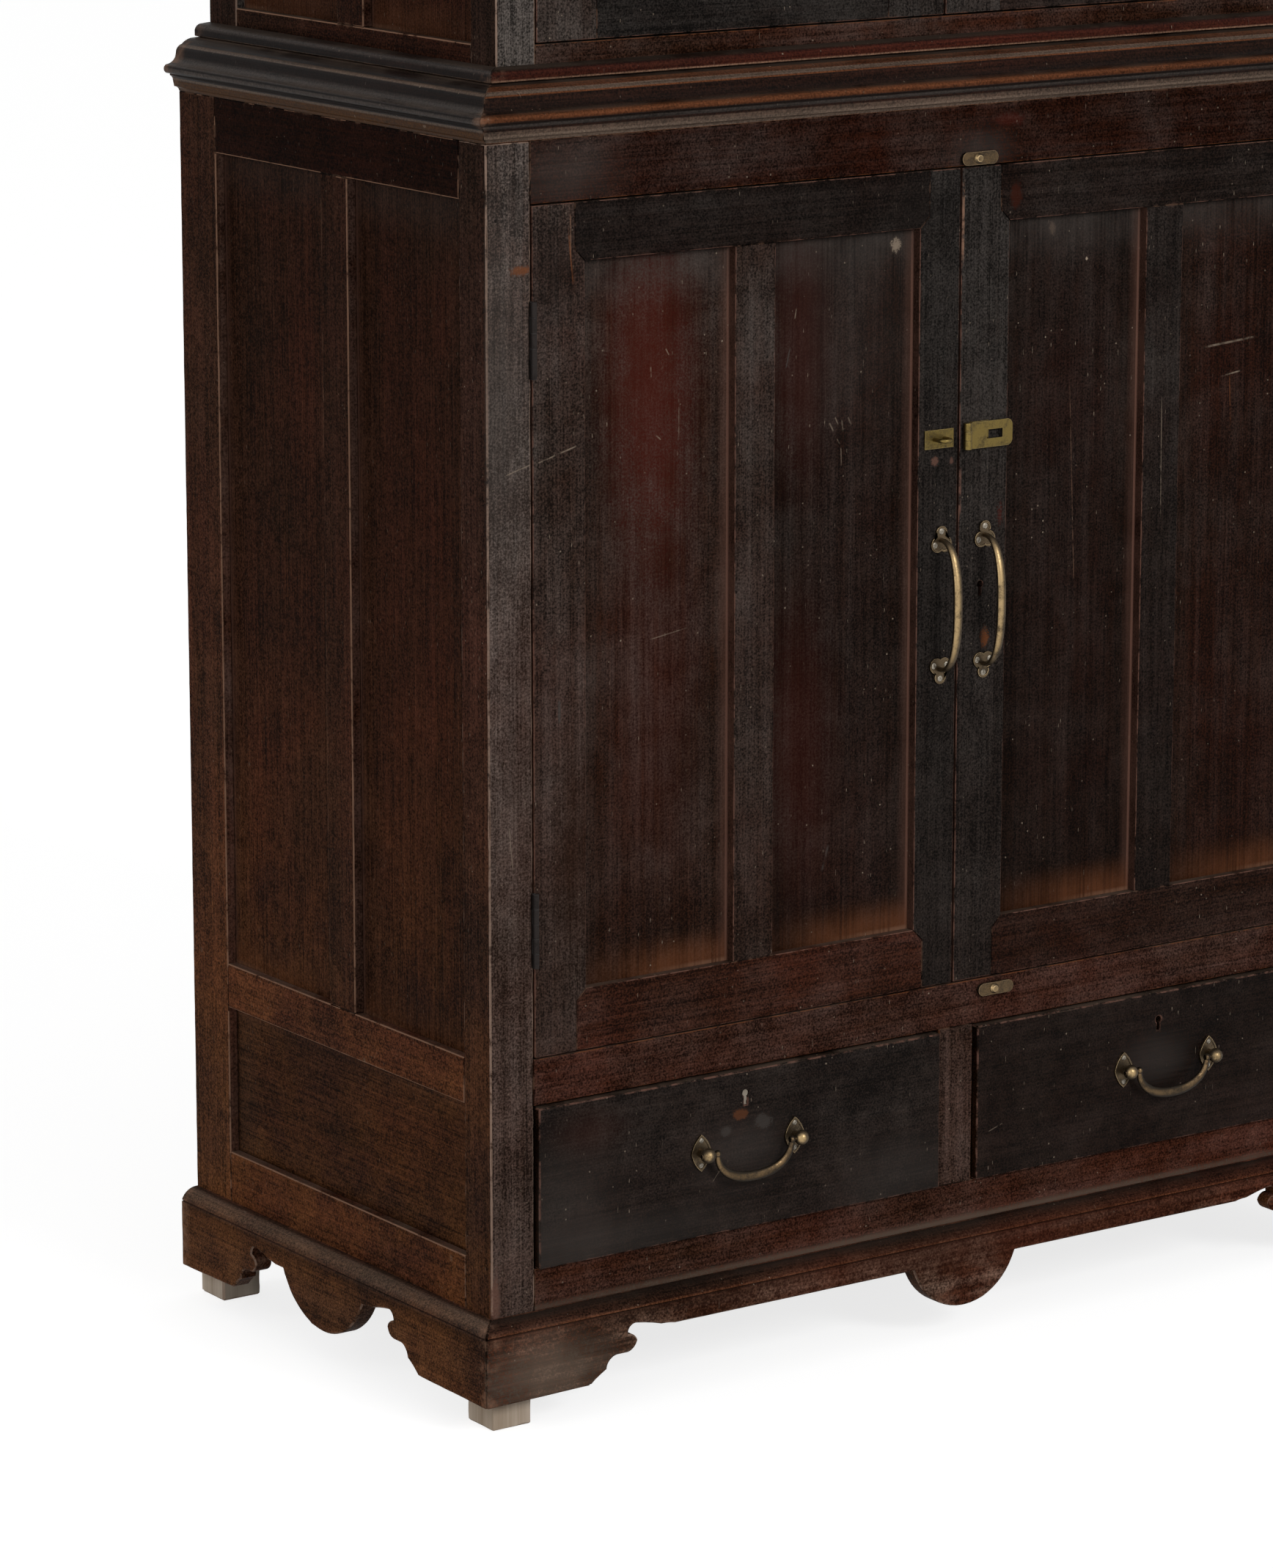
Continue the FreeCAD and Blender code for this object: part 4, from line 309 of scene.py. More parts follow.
class PolishSettings(bpy.types.PropertyGroup):
    """Colours of the old polish."""

    # Also the painted shadow lines in the bands of the mouldings and the base.
    soot_and_shade: colour_of("Soot", "Polish that has gone black", "14100e")
    umber: colour_of("Umber", "Brown polish", "2d1b12")
    russet: colour_of("Russet", "Red-brown polish", "3a1a11")
    deep: colour_of("Deep red", "Clear red polish on bare wood", "501d14")
    # Also laid as a painted sheen on faces that look forward, and in the bands of the mouldings.
    ash_and_sheen: colour_of("Ash", "Grey bloom of old wax", "48423e")
    amber: colour_of("Amber", "Wood rubbed bare low down", "74452a")
    worn: colour_of("Worn arris", "Bare wood where an arris has worn", "93705b")
    rose: colour_of("Rose", "Pale pink wood at the edge of a panel", "7c594c")
    honey: colour_of("Honey", "Warm brown polish on the sides", "4a2e14")
    # Also the painted highlight lines and sheen in the bands of the mouldings and the base.
    dust: colour_of("Dust", "Dust on ledges", "6a5a4e")
    pale: colour_of("Pale arris", "Pale wood at the corners that get knocked", "9c8272")
    fleck: colour_of("Fleck", "Pale specks and scratches", "a3917e")
    ease: length_of("Eased arris", "How far each arris is eased", 0.0006)
    moulding_ease: length_of("Eased moulding", "How far a moulding's arrises are eased", 0.0005)


class FittingSettings(bpy.types.PropertyGroup):
    """Colours and sizes of the metal fittings."""

    brass: colour_of("Brass", "Brass of the hasp", "7c6a3c")
    bronze: colour_of("Bronze", "Old bronze of the bows", "a68d66")
    plate: colour_of("Screw plates", "Dull bronze of the plates", "574a39")
    bail: colour_of("Bails", "Browned bronze of the bails", "7c6548")
    screw: colour_of("Screws", "Grey heads of the screws", "8d867a")
    patina: colour_of("Patina", "Dark patina in the hollows", "2b241c")
    iron: colour_of("Iron", "Dark iron of the hinges", "2b2624")
    edge: length_of("Eased edge", "How far a metal edge is eased", 0.0003)
    head: length_of("Screw head", "Radius of a plate screw's head", 0.0027)
    rise: length_of("Head rise", "How proud a screw head stands", 0.0009)
    slot: length_of("Slot width", "Width of a screw head's slot", 0.0007)


class StudioSettings(bpy.types.PropertyGroup):
    """The camera's place and the lamps."""

    camera: FloatVectorProperty(
        name="Camera", description="Where the camera stands", default=(-3.0775, -4.1590, 1.6183),
        subtype="TRANSLATION", size=3, unit="LENGTH",
    )
    pitch: FloatProperty(
        name="Pitch", description="Camera's tilt from straight down", default=math.radians(77.188),
        subtype="ANGLE",
    )
    yaw: FloatProperty(
        name="Yaw", description="Camera's turn about the upright", default=math.radians(-34.875),
        subtype="ANGLE",
    )
    lens: FloatProperty(name="Lens", description="Focal length in millimetres", default=139.0)
    key: FloatProperty(name="Key lamp", description="Strength of the key lamp", default=95, unit="POWER")
    fill: FloatProperty(name="Fill lamp", description="Strength of the fill lamp", default=22, unit="POWER")
    rim: FloatProperty(name="Rim lamp", description="Strength of the rim lamp", default=14, unit="POWER")
    sky: FloatProperty(name="Soft light", description="Light from all round", default=0.42, min=0)
    floor: length_of("Floor", "Half the width of the floor", 14)
    glow: FloatProperty(name="Floor glow", description="What lifts the floor to white", default=0.78, min=0)


class CupboardSettings(bpy.types.PropertyGroup):
    """All the settings of the cupboard."""

    polish: PointerProperty(type=PolishSettings)
    fitting: PointerProperty(type=FittingSettings)
    studio: PointerProperty(type=StudioSettings)


def settings():
    """The cupboard's settings in this scene."""
    return bpy.context.scene.panelled_cupboard


# Finishes


class Amount:
    """One number in a finish. Sums on it add Math nodes."""

    def __init__(self, bench, socket):
        self.bench = bench
        self.socket = socket

    def sum(self, operation, *values):
        return self.bench.add("ShaderNodeMath", {"operation": operation}, values)

    def __add__(self, other):
        return self.sum("ADD", self, other)

    __radd__ = __add__

    def __sub__(self, other):
        return self.sum("SUBTRACT", self, other)

    def __rsub__(self, other):
        return self.sum("SUBTRACT", other, self)

    def __mul__(self, other):
        return self.sum("MULTIPLY", self, other)

    __rmul__ = __mul__

    def __abs__(self):
        return self.sum("ABSOLUTE", self)

    def __lt__(self, other):
        return self.sum("LESS_THAN", self, other)

    def __gt__(self, other):
        return self.sum("GREATER_THAN", self, other)

    def least(self, other):
        return self.sum("MINIMUM", self, other)

    def most(self, other):
        return self.sum("MAXIMUM", self, other)

    def clip(self):
        """The number held between 0 and 1."""
        return self.bench.add("ShaderNodeClamp", inputs=(self,))

    def ramp(self, start, end):
        """0 before start and 1 after end, smooth between. Start may be the larger."""
        rising = start < end
        low, high = (start, end) if rising else (end, start)
        made = self.bench.add(
            "ShaderNodeMapRange",
            {"interpolation_type": "SMOOTHSTEP"},
            {"Value": self, "From Min": low, "From Max": high},
        )
        return made if rising else 1 - made


class Bench:
    """The shader of one finish, built node by node."""

    def __init__(self, name):
        self.material = bpy.data.materials.new(name)
        self.material.use_nodes = True
        self.tree = self.material.node_tree
        self.tree.nodes.clear()

    def add(self, kind, node_settings=(), inputs=(), output=0):
        """A node of any kind. Its settings are set first, then the values or links of its sockets."""
        node = self.tree.nodes.new(kind)
        for name, value in dict(node_settings).items():
            setattr(node, name, value)
        pairs = inputs.items() if isinstance(inputs, dict) else enumerate(inputs)
        for key, value in pairs:
            if isinstance(value, Amount):
                self.tree.links.new(value.socket, node.inputs[key])
            elif isinstance(value, tuple) and len(value) == 3 and node.inputs[key].type == "RGBA":
                node.inputs[key].default_value = (*value, 1)
            else:
                node.inputs[key].default_value = value
        return Amount(self, node.outputs[output]) if node.outputs else None

    def place(self):
        """Where a point is, in metres, on the piece at rest."""
        return self.add("ShaderNodeTexCoord", output="Object")

    def vector(self, name):
        return self.add("ShaderNodeAttribute", {"attribute_name": name}, output="Vector")

    def number(self, name):
        return self.add("ShaderNodeAttribute", {"attribute_name": name}, output="Fac")

    def split(self, vector):
        made = self.add("ShaderNodeSeparateXYZ", inputs=(vector,))
        node = made.socket.node
        return [Amount(self, socket) for socket in node.outputs]

    def stretch(self, vector, scale):
        return self.add("ShaderNodeVectorMath", {"operation": "MULTIPLY"}, (vector, scale))

    def shift(self, vector, offset):
        return self.add("ShaderNodeVectorMath", {"operation": "ADD"}, (vector, offset))

    def dot(self, vector, other):
        made = {"operation": "DOT_PRODUCT"}
        return self.add("ShaderNodeVectorMath", made, (vector, other), output="Value")

    def length(self, vector):
        return self.add("ShaderNodeVectorMath", {"operation": "LENGTH"}, (vector,), output="Value")

    def scale(self, colour, share):
        """A colour made lighter or darker by a number."""
        return self.add("ShaderNodeVectorMath", {"operation": "SCALE"}, {0: colour, 3: share})

    def turn(self, vector, angles, scale):
        return self.add(
            "ShaderNodeMapping", inputs={"Vector": vector, "Rotation": angles, "Scale": scale}
        )

    def noise(self, vector, scale=1.0, detail=2.0, rough=0.5, warp=0.0):
        return self.add(
            "ShaderNodeTexNoise",
            inputs={
                "Vector": vector, "Scale": scale, "Detail": detail, "Roughness": rough,
                "Distortion": warp,
            },
        )

    def cells(self, vector, scale=1.0):
        """Distance to the nearest of some scattered points, and that point's own number."""
        near = self.add("ShaderNodeTexVoronoi", inputs={"Vector": vector, "Scale": scale})
        tint = Amount(self, near.socket.node.outputs["Color"])
        return near, self.split(tint)[0]

    def mix(self, share, first, second):
        """Colour that goes from first to second as share goes from 0 to 1."""
        return self.add(
            "ShaderNodeMix", {"data_type": "RGBA"}, {0: share, 6: first, 7: second}, output=2
        )

    def bands(self, level, rows, polish):
        """The tone at a level of a moulding, and how strong it is there."""
        reach = rows[-1][0]
        made = self.add("ShaderNodeValToRGB", inputs=(level * (1 / reach),))
        stops = made.socket.node.color_ramp.elements
        stops.remove(stops[1])
        for number, (height, tone, strength) in enumerate(rows):
            stop = stops.new(height / reach) if number else stops[0]
            stop.position = height / reach
            stop.color = (*polish[tone], strength)
        beyond = level < reach
        return made, Amount(self, made.socket.node.outputs["Alpha"]) * beyond

    def bump(self, height, strength, depth):
        return self.add(
            "ShaderNodeBump", inputs={"Height": height, "Strength": strength, "Distance": depth}
        )

    def finish(self, **sockets):
        """Closes the shader. Sockets are named with _ for a space."""
        inputs = {name.replace("_", " "): value for name, value in sockets.items()}
        shader = self.add("ShaderNodeBsdfPrincipled", inputs=inputs)
        self.add("ShaderNodeOutputMaterial", inputs=(shader,))
        return self.material


def spot_on(node, shares, depth=0.0):
    """The place on a node's front that lies at these shares of its breadth and height."""
    low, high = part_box(node)
    return Vector((
        low.x + shares[0] * (high.x - low.x), low.y + depth, low.z + shares[1] * (high.z - low.z)
    ))


def patched(bench, place, colour, polish, ragged, grit, patches):
    """A colour with rubbed, waxed or broken patches on it."""
    for node, shares, half_size, tone, strength, depth in patches:
        away = bench.shift(place, tuple(-spot_on(node, shares, depth)))
        away = bench.stretch(away, (1 / half_size[0], 1 / MARK_DEPTH, 1 / half_size[1]))
        soft = half_size[0] > SOFT_PATCH
        rough = (ragged - 0.5) * (0.8 if soft else 2.0) + (grit - 0.5) * 1.6
        share = (bench.length(away) + rough).ramp(*((1.4, 0.0) if soft else (1.15, 0.5)))
        colour = bench.mix(share * strength, colour, polish[tone])
    return colour


def scratched(bench, place, colour, polish, ragged, scratches):
    """A colour with long thin scratches on it."""
    for node, start, end, breadth, tone, strength in scratches:
        first, last = spot_on(node, start), spot_on(node, end)
        way = (last - first).normalized()
        away = bench.shift(place, tuple((first + last) / -2))
        half = (last - first).length / 2
        line = abs(bench.dot(away, tuple(way.cross(Vector((0, 1, 0)))))).ramp(breadth, breadth * 0.2)
        reach = abs(bench.dot(away, tuple(way))).ramp(half, half * 0.7)
        front = abs(bench.dot(away, (0, 1, 0))) < MARK_DEPTH
        share = line * reach * front * ragged.ramp(0.34, 0.56)
        colour = bench.mix(share * strength, colour, polish[tone])
    return colour


def wood(name, polish, wear=0.5, grain=1.0, gloss=0.45, shine=0.006, panel=0.0, bloom_and_sheen="ash_and_sheen", ticks=1.0,
         inner=(), calm=1.0, ledges=0.5, edge="worn", bands=(), patches=(), scratches=()):
    """Old polished wood, in which each board brings its own tone.

    Panel is how strongly a panel's margins are marked, with painted shade where the frame meets it at
    the left and the top. Inner is an axis and how much painted light pales the walls that face down
    that axis. Calm is how cloudy the polish is. Bands are the foot of a moulding, and what its front
    and its sides show above it, painted highlights, sheen and shadow lines among them.
    """
    bench = Bench(name)
    place = bench.place()
    z = bench.split(place)[2]
    board = bench.vector("board")
    along, across, through = bench.split(board)
    half_along, half_across, half_through = bench.split(bench.vector("half"))
    lift, red, grey = bench.split(bench.vector("tone"))
    look = bench.split(bench.vector("look"))
    arris, joint = bench.number("arris"), bench.number("joint")
    own = bench.shift(board, bench.vector("seed"))

    blotch = bench.noise(place, 4.2, 3, 0.55, 0.3)
    cloud = bench.noise(bench.shift(place, (3, 7, 1)), 14, 4, 0.62, 0.3)
    streak = bench.noise(bench.stretch(own, (2.2, 85, 85)), 1, 4, 0.62, 0.3)
    fine = bench.noise(bench.stretch(own, (7, 420, 420)), 1, 2, 0.6)
    hair = bench.noise(bench.stretch(own, (24, 1400, 1400)), 1, 1, 0.5)
    ragged = bench.noise(place, 75, 4, 0.68)
    grit = bench.noise(place, 560, 2, 0.6)

    # the polish, with painted sheen on faces that look forward and painted shade on the sides
    red_share = (red + (blotch - 0.5) * 1.6 + (streak - 0.5) * 0.7).clip()
    # Painted sheen: the grey layer is laid stronger on faces that look forward, partly the grey of old wax and
    # partly painted sheen.
    forward = (0 - look[1]).ramp(0.2, 0.9) * 0.85 + 0.15
    high = z.ramp(0.1, 1.05) * 0.55 + 0.45
    if bloom_and_sheen == "dust":
        high = z.ramp(0.105, 0.050)
    grey_share = ((grey + (cloud - 0.5) * 1.2 + (streak - 0.5) * 0.9) * forward * high).clip()
    end, side, face = half_along - abs(along), half_across - abs(across), half_through - abs(through)
    nearest = end.least(side)
    if panel:
        red_share = red_share * (nearest.ramp(0.012, 0.05) * 0.8 + 0.2)
    colour = bench.mix(red_share, polish["umber"], polish["russet"])
    colour = bench.mix(grey_share, colour, polish[bloom_and_sheen])
    texture = 1 + ((streak - 0.5) * 0.9 + (fine - 0.5) * 2.2 + (hair - 0.5) * 1.6) * grain
    texture = texture + ((cloud - 0.5) + (blotch - 0.5)) * 1.2 * calm + (grit - 0.5) * 4.6
    texture = texture + (ragged - 0.5) * (0.4 + calm)
    aside = abs(look[0]).ramp(0.35, 0.65)
    warm = aside * z.ramp(0.75, 0.05) * (cloud * 0.5 + blotch * 0.6).ramp(0.40, 0.75)
    colour = bench.mix(warm * 0.45, colour, polish["honey"])
    # Painted shade: faces that look sideways are painted darker towards the top.
    painted_side_shade = 1 - (1 - forward) * z.ramp(0.25, 1.05) * 0.45
    colour = bench.scale(colour, texture.most(0.25) * lift * painted_side_shade)

    # Painted highlights, sheen and shadow lines: the bands follow the moulding's ridges and hollows, with
    # front and side bands mixed by the way a face looks.
    if bands:
        foot, front_rows, side_rows = bands
        level = z - foot + (cloud - 0.5) * 0.0006
        uneven = (cloud * 0.6 + streak * 0.5 + grit * 0.3).ramp(0.35, 0.85) * 0.4 + 0.6
        turned = (abs(look[0]) - abs(look[1])).ramp(-0.05, 0.05)
        for rows, way in ((front_rows, 1 - turned), (side_rows, turned)):
            tone, strength = bench.bands(level, rows, polish)
            shade = 1 + ((fine - 0.5) * 1.2 + (grit - 0.5) * 2.0)
            colour = bench.mix((strength * way * uneven).clip(), colour, bench.scale(tone, shade))
        knocked = end.ramp(0.018, 0.002) * (ragged * 0.7 + cloud * 0.5).ramp(0.5, 0.72) * (look[2] < 0.9)
        colour = bench.mix(knocked * 0.55, colour, polish["worn"])
    if panel:
        right = half_across - across - PANEL_TONGUE
        left = half_across + across - PANEL_TONGUE
        foot = half_along + along - PANEL_TONGUE
        top = half_along - along - PANEL_TONGUE
        uneven = (cloud * 0.7 + fine * 0.5).ramp(0.3, 0.75)
        glow = right.ramp(0.014, 0.001) * (uneven * 0.5 + 0.5) * 0.30 + right.ramp(0.0030, 0.0016) * 0.55
        colour = bench.mix(glow * panel, colour, polish["rose"])
        rubbed = foot.ramp(0.036, 0.002) * (uneven * 0.8 + 0.2) * (left.ramp(0.0, 0.09) * 0.75 + 0.25)
        colour = bench.mix(rubbed * 0.58 * panel, colour, polish["amber"])
        sill = foot.ramp(0.0045, 0.001) * (fine * 0.6 + cloud * 0.5).ramp(0.35, 0.6) * right.ramp(0.10, 0.0)
        colour = bench.mix(sill * 0.45 * panel, colour, polish["worn"])
        powder = top.ramp(0.050, 0.004) * uneven
        colour = bench.mix(powder * 0.45 * panel, colour, polish["ash_and_sheen"])
        # Painted shade along the panel's left and top margins, where the frame meets it.
        painted_seam_shade = left.least(top).ramp(0.0035, 0.0)
        colour = bench.scale(colour, 1 - painted_seam_shade * 0.45)

    # grime, wear and dust, and painted light on some walls
    pale_joint = joint * ragged.ramp(0.47, 0.58)
    colour = bench.scale(colour, 1 - joint * 0.75)
    colour = bench.mix(pale_joint * 0.30, colour, polish["worn"])
    # Painted light: walls that face down the given axis are painted paler.
    if inner:
        axis, share = inner
        painted_lit_wall = (0 - look[axis]).ramp(0.75, 0.95) * share
        colour = bench.mix(painted_lit_wall * (cloud * 0.7 + grit * 0.4).ramp(0.3, 0.7), colour, polish["rose"])
    farther = end.most(side)
    rim = nearest.most(farther.least(face)).least(nearest.most(face))
    eased = arris * (1 - joint) * ragged.ramp(0.60 - wear * 0.34, 0.72 - wear * 0.26)
    rubs = rim.ramp(0.0028, 0.0003) * ragged.ramp(0.54, 0.68) * (1 - arris)
    worn = eased if bands else (eased + rubs * 0.4 * wear).clip()
    colour = bench.mix(worn * (0.35 + 0.55 * wear), colour, polish[edge])
    ledge = look[2].ramp(0.7, 0.98) * cloud.ramp(0.3, 0.62)
    colour = bench.mix(ledge * ledges, colour, polish["dust"])

    # ticks, specks and scratches
    crowd = bench.noise(bench.shift(place, (1, 4, 9)), 9, 3, 0.6).ramp(0.42, 0.66)
    tick, tick_number = bench.cells(bench.stretch(place, (420, 420, 85)))
    speck, speck_number = bench.cells(place, 170)
    stroke, stroke_number = bench.cells(bench.turn(place, (0, 0.55, 0), (330, 40, 26)))
    slant, slant_number = bench.cells(bench.turn(place, (0, -0.8, 0), (360, 40, 34)))
    marks = (
        tick.ramp(0.20, 0.09) * (tick_number > 0.925) * (crowd * 0.8 + 0.2)
        + speck.ramp(0.17, 0.09) * (speck_number > 0.93) * (crowd * 0.6 + 0.4)
        + stroke.ramp(0.13, 0.05) * (stroke_number > 0.96) * (crowd * 0.7 + 0.1)
        + slant.ramp(0.12, 0.05) * (slant_number > 0.965) * (crowd * 0.7 + 0.1)
    ).clip() * (grit * 0.6 + cloud * 0.5).ramp(0.3, 0.7)
    colour = bench.mix(marks * 0.75 * ticks, colour, polish["fleck"])
    colour = patched(bench, place, colour, polish, ragged, grit, patches)
    colour = scratched(bench, place, colour, polish, ragged, scratches)

    height = fine * 0.35 + hair * 0.2 + streak * 0.45 - marks * 0.4 + ragged * 0.25
    waves = bench.noise(place, 9, 2, 0.5)
    normal = bench.bump(height + waves * 2.0, 0.55, 0.0010)
    roughness = gloss + (cloud - 0.5) * 0.4 + (fine - 0.5) * 0.25 + ledge * 0.25 + worn * 0.12
    return bench.finish(
        Base_Color=colour, Roughness=roughness.clip(), Normal=normal, Specular_IOR_Level=shine,
    )


def bare_wood(name, polish, pale="6d5a48", dark="46382b"):
    """Wood that was never polished, as inside the cupboard."""
    bench = Bench(name)
    place = bench.place()
    own = bench.shift(bench.vector("board"), bench.vector("seed"))
    streak = bench.noise(bench.stretch(own, (1.6, 30, 30)), 1, 4, 0.6, 0.3)
    fine = bench.noise(bench.stretch(own, (9, 260, 260)), 1, 3, 0.65)
    cloud = bench.noise(place, 7, 4, 0.6)
    share = (streak * 0.5 + fine * 0.3 + cloud * 0.4).ramp(0.35, 0.85)
    colour = bench.mix(share, paint(dark), paint(pale))
    grime = cloud.ramp(0.5, 0.75)
    colour = bench.mix(grime * 0.4, colour, polish["umber"])
    worn = bench.number("arris") * cloud.ramp(0.4, 0.6)
    colour = bench.mix(worn * 0.5, colour, polish["worn"])
    normal = bench.bump(streak * 0.5 + fine * 0.5, 0.6, 0.0008)
    return bench.finish(
        Base_Color=colour, Roughness=0.62 + fine * 0.25, Normal=normal, Specular_IOR_Level=0.1,
    )


def metal(name, bright, dull, patina, gloss=0.34, shine=1.0, clean=0.5):
    """Old metal, bright where it stands proud and faces the way of the painted highlight, and dull elsewhere.
    """
    bench = Bench(name)
    place = bench.place()
    cloud = bench.noise(place, 85, 4, 0.65, 0.4)
    grit = bench.noise(place, 620, 3, 0.6)
    proud = (bench.number("proud") + (cloud - 0.5) * 0.6).ramp(0.25, 0.85)
    # Painted highlight: the metal is painted brighter where it faces one way, forward and to the left.
    painted_highlight = bench.dot(bench.vector("look"), HIGHLIGHT_WAY).ramp(0.72, 0.99)
    body = bench.mix(proud * painted_highlight, dull, bright)
    share = (cloud * 0.8 + grit * 0.35).ramp(clean, clean + 0.3)
    body = bench.mix(share * 0.8, body, patina)
    rubbed = bench.number("arris") * cloud.ramp(0.35, 0.6)
    body = bench.mix(rubbed * 0.6, body, tuple(min(1, part * 1.7 + 0.05) for part in bright))
    spot, number = bench.cells(place, 300)
    pits = spot.ramp(0.14, 0.05) * (number > 0.7)
    body = bench.mix(pits * 0.6, body, patina)
    normal = bench.bump(cloud + grit * 0.4 - pits * 0.4, 0.4, 0.0004)
    return bench.finish(
        Base_Color=body, Metallic=shine - share * 0.4, Roughness=gloss + share * 0.25 + grit * 0.14,
        Normal=normal, Specular_IOR_Level=0.2,
    )


def finishes():
    """Every finish by name, made once."""
    if FINISHES:
        return FINISHES
    polish_settings, fitting = settings().polish, settings().fitting
    polish = {
        name: tuple(getattr(polish_settings, name))
        for name in (
            "soot_and_shade", "umber", "russet", "deep", "ash_and_sheen", "amber", "worn", "rose", "honey", "dust", "pale",
            "fleck",
        )
    }
    brass, bronze, plate, bail, steel, patina, iron = [
        tuple(getattr(fitting, name))
        for name in ("brass", "bronze", "plate", "bail", "screw", "patina", "iron")
    ]
    FINISHES.update(
        carcass=wood("carcass_polish", polish, wear=0.6, grain=0.7, edge="amber",
                     patches=RAIL_PATCHES, scratches=RAIL_SCRATCHES),
        post=wood("post_polish", polish, wear=0.8, grain=0.9, edge="pale",
                  patches=POST_PATCHES, scratches=POST_SCRATCHES),
        door=wood("door_frame_polish", polish, wear=0.6, grain=0.8, shine=0.02, inner=(0, 0.4), edge="rose",
                  patches=DOOR_PATCHES, scratches=DOOR_SCRATCHES),
        panel=wood("panel_polish", polish, wear=0.2, panel=1.0, grain=0.8, gloss=0.4, shine=0.02, ticks=1.2,
                   patches=PANEL_PATCHES, scratches=PANEL_SCRATCHES),
        side_panel=wood("side_panel_polish", polish, wear=0.2, panel=0.35, ticks=0.5, grain=1.0),
        side_frame=wood("side_frame_polish", polish, wear=0.95, ticks=0.6, grain=0.8, inner=(1, 0.25)),
        drawer=wood("drawer_polish", polish, wear=0.5, gloss=0.38, shine=0.03, ticks=1.3, grain=0.55,
                    calm=1.8, edge="rose",
                    patches=DRAWER_PATCHES, scratches=DRAWER_SCRATCHES),
        base=wood("base_polish", polish, wear=0.5, grain=0.8, calm=1.4, bloom_and_sheen="dust", ledges=0.1,
                  edge="pale", bands=(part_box("base_front_apron")[0].z, BASE_FRONT, BASE_SIDE),
                  patches=BASE_PATCHES),
        moulding=wood("moulding_polish", polish, wear=0.6, calm=0.5, gloss=0.36, shine=0.03, ledges=0.2,
                      bands=(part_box("waist_moulding")[0].z, WAIST_FRONT, WAIST_SIDE)),
        inside=bare_wood("bare_wood", polish),
        fill=bare_wood("keyhole_wax", polish, pale="b3a999", dark="7c7266"),
        foot=bare_wood("foot_wood", polish, pale="e6d6c4", dark="9c8771"),
        brass=metal("old_brass", brass, tuple(part * 0.7 for part in brass), patina, gloss=0.3, clean=0.5),
        bronze=metal("old_bronze", bronze, plate, patina, gloss=0.3, clean=0.5),
        bail=metal("browned_bronze", bail, patina, patina, gloss=0.3, clean=0.45),
        screw=metal("screw_steel", steel, steel, patina, gloss=0.35, clean=0.55),
        iron=metal("old_iron", iron, iron, paint("1b1614"), gloss=0.5, shine=0.7),
    )
    return FINISHES


FINISHES = {}


# Boards


def loose_parts(work):
    """The vertices of each separate solid in a mesh."""
    unseen = set(work.verts)
    parts = []
    for start in work.verts:
        if start not in unseen:
            continue
        unseen.discard(start)
        part, open_ends = [start], [start]
        while open_ends:
            for edge in open_ends.pop().link_edges:
                for vert in edge.verts:
                    if vert in unseen:
                        unseen.discard(vert)
                        part.append(vert)
                        open_ends.append(vert)
        parts.append(part)
    return parts


def box_of(verts):
    """The lowest and highest corners of some vertices."""
    low = Vector(min(vert.co[axis] for vert in verts) for axis in range(3))
    high = Vector(max(vert.co[axis] for vert in verts) for axis in range(3))
    return low, high


def solids_of(work):
    """The faces of each solid. Solids are written one after another, and each is closed."""
    open_edges, solid = set(), []
    for face in work.faces:
        solid.append(face)
        corners = [tuple(round(value / WELD) for value in vert.co) for vert in face.verts]
        for pair in zip(corners, corners[1:] + corners[:1]):
            if pair[0] != pair[1]:
                open_edges ^= {frozenset(pair)}
        if not open_edges:
            yield solid
            solid = []


def welded(node):
    """A copy of a CAD node whose solids stay apart and whose flat faces are whole."""
    work = bmesh.new()
    work.from_mesh(frame["nodes"][node].data)
    solids = [{vert for face in solid for vert in face.verts} for solid in solids_of(work)]
    for verts in solids:
        bmesh.ops.remove_doubles(work, verts=list(verts), dist=WELD)
    bmesh.ops.dissolve_limit(
        work, angle_limit=FLAT, verts=work.verts, edges=work.edges, use_dissolve_boundaries=False
    )
    return work


def board_boxes():
    """The boxes of all wooden boards, body by body."""
    boxes = {}
    for node, slot in SLOT_OF.items():
        if slot in WOOD_SLOTS:
            work = welded(node)
            found = [box_of(part) for part in loose_parts(work)]
            work.free()
            boxes.setdefault(BODY_OF[node], []).extend(found)
    return boxes


def room(edge, face):
    """How far a face reaches from one of its edges."""
    start = edge.verts[0].co
    way = (edge.verts[1].co - start).normalized()
    offsets = [vert.co - start for vert in face.verts]
    return max((offset - way * offset.dot(way)).length for offset in offsets)


def arrises(work, ease):
    """The outer edges that have room to be eased."""
    return [
        edge for edge in work.edges
        if len(edge.link_faces) == 2 and edge.is_convex and edge.calc_face_angle(0) > ARRIS
        and all(room(edge, face) > ease * 2 for face in edge.link_faces)
    ]


def divide(edge, pitch):
    """Puts points along an edge, about a pitch apart."""
    start, end = edge.verts
    for number in range(int(edge.calc_length() / pitch), 0, -1):
        point = bmesh.utils.edge_split(edge, start, 1 / (number + 1))[1]
        edge = next(link for link in point.link_edges if end in link.verts)
        start = point


def chip(work, arris, depth):
    """Bites unevenly into the eased arrises and leaves the flat faces flat."""
    moves = {}
    for vert in {vert for face in work.faces if face[arris] for vert in face.verts}:
        place = vert.co
        amount = max(0.0, noise.noise(place * 90) + 0.25) * 0.6
        amount += max(0.0, noise.noise(place * 31 + Vector((5, 5, 5))) - 0.15) * 1.6
        move = vert.normal * (-depth * min(1.0, amount))
        for face in vert.link_faces:
            if not face[arris]:
                move = move - face.normal * move.dot(face.normal)
        moves[vert] = move
    for vert, move in moves.items():
        vert.co += move


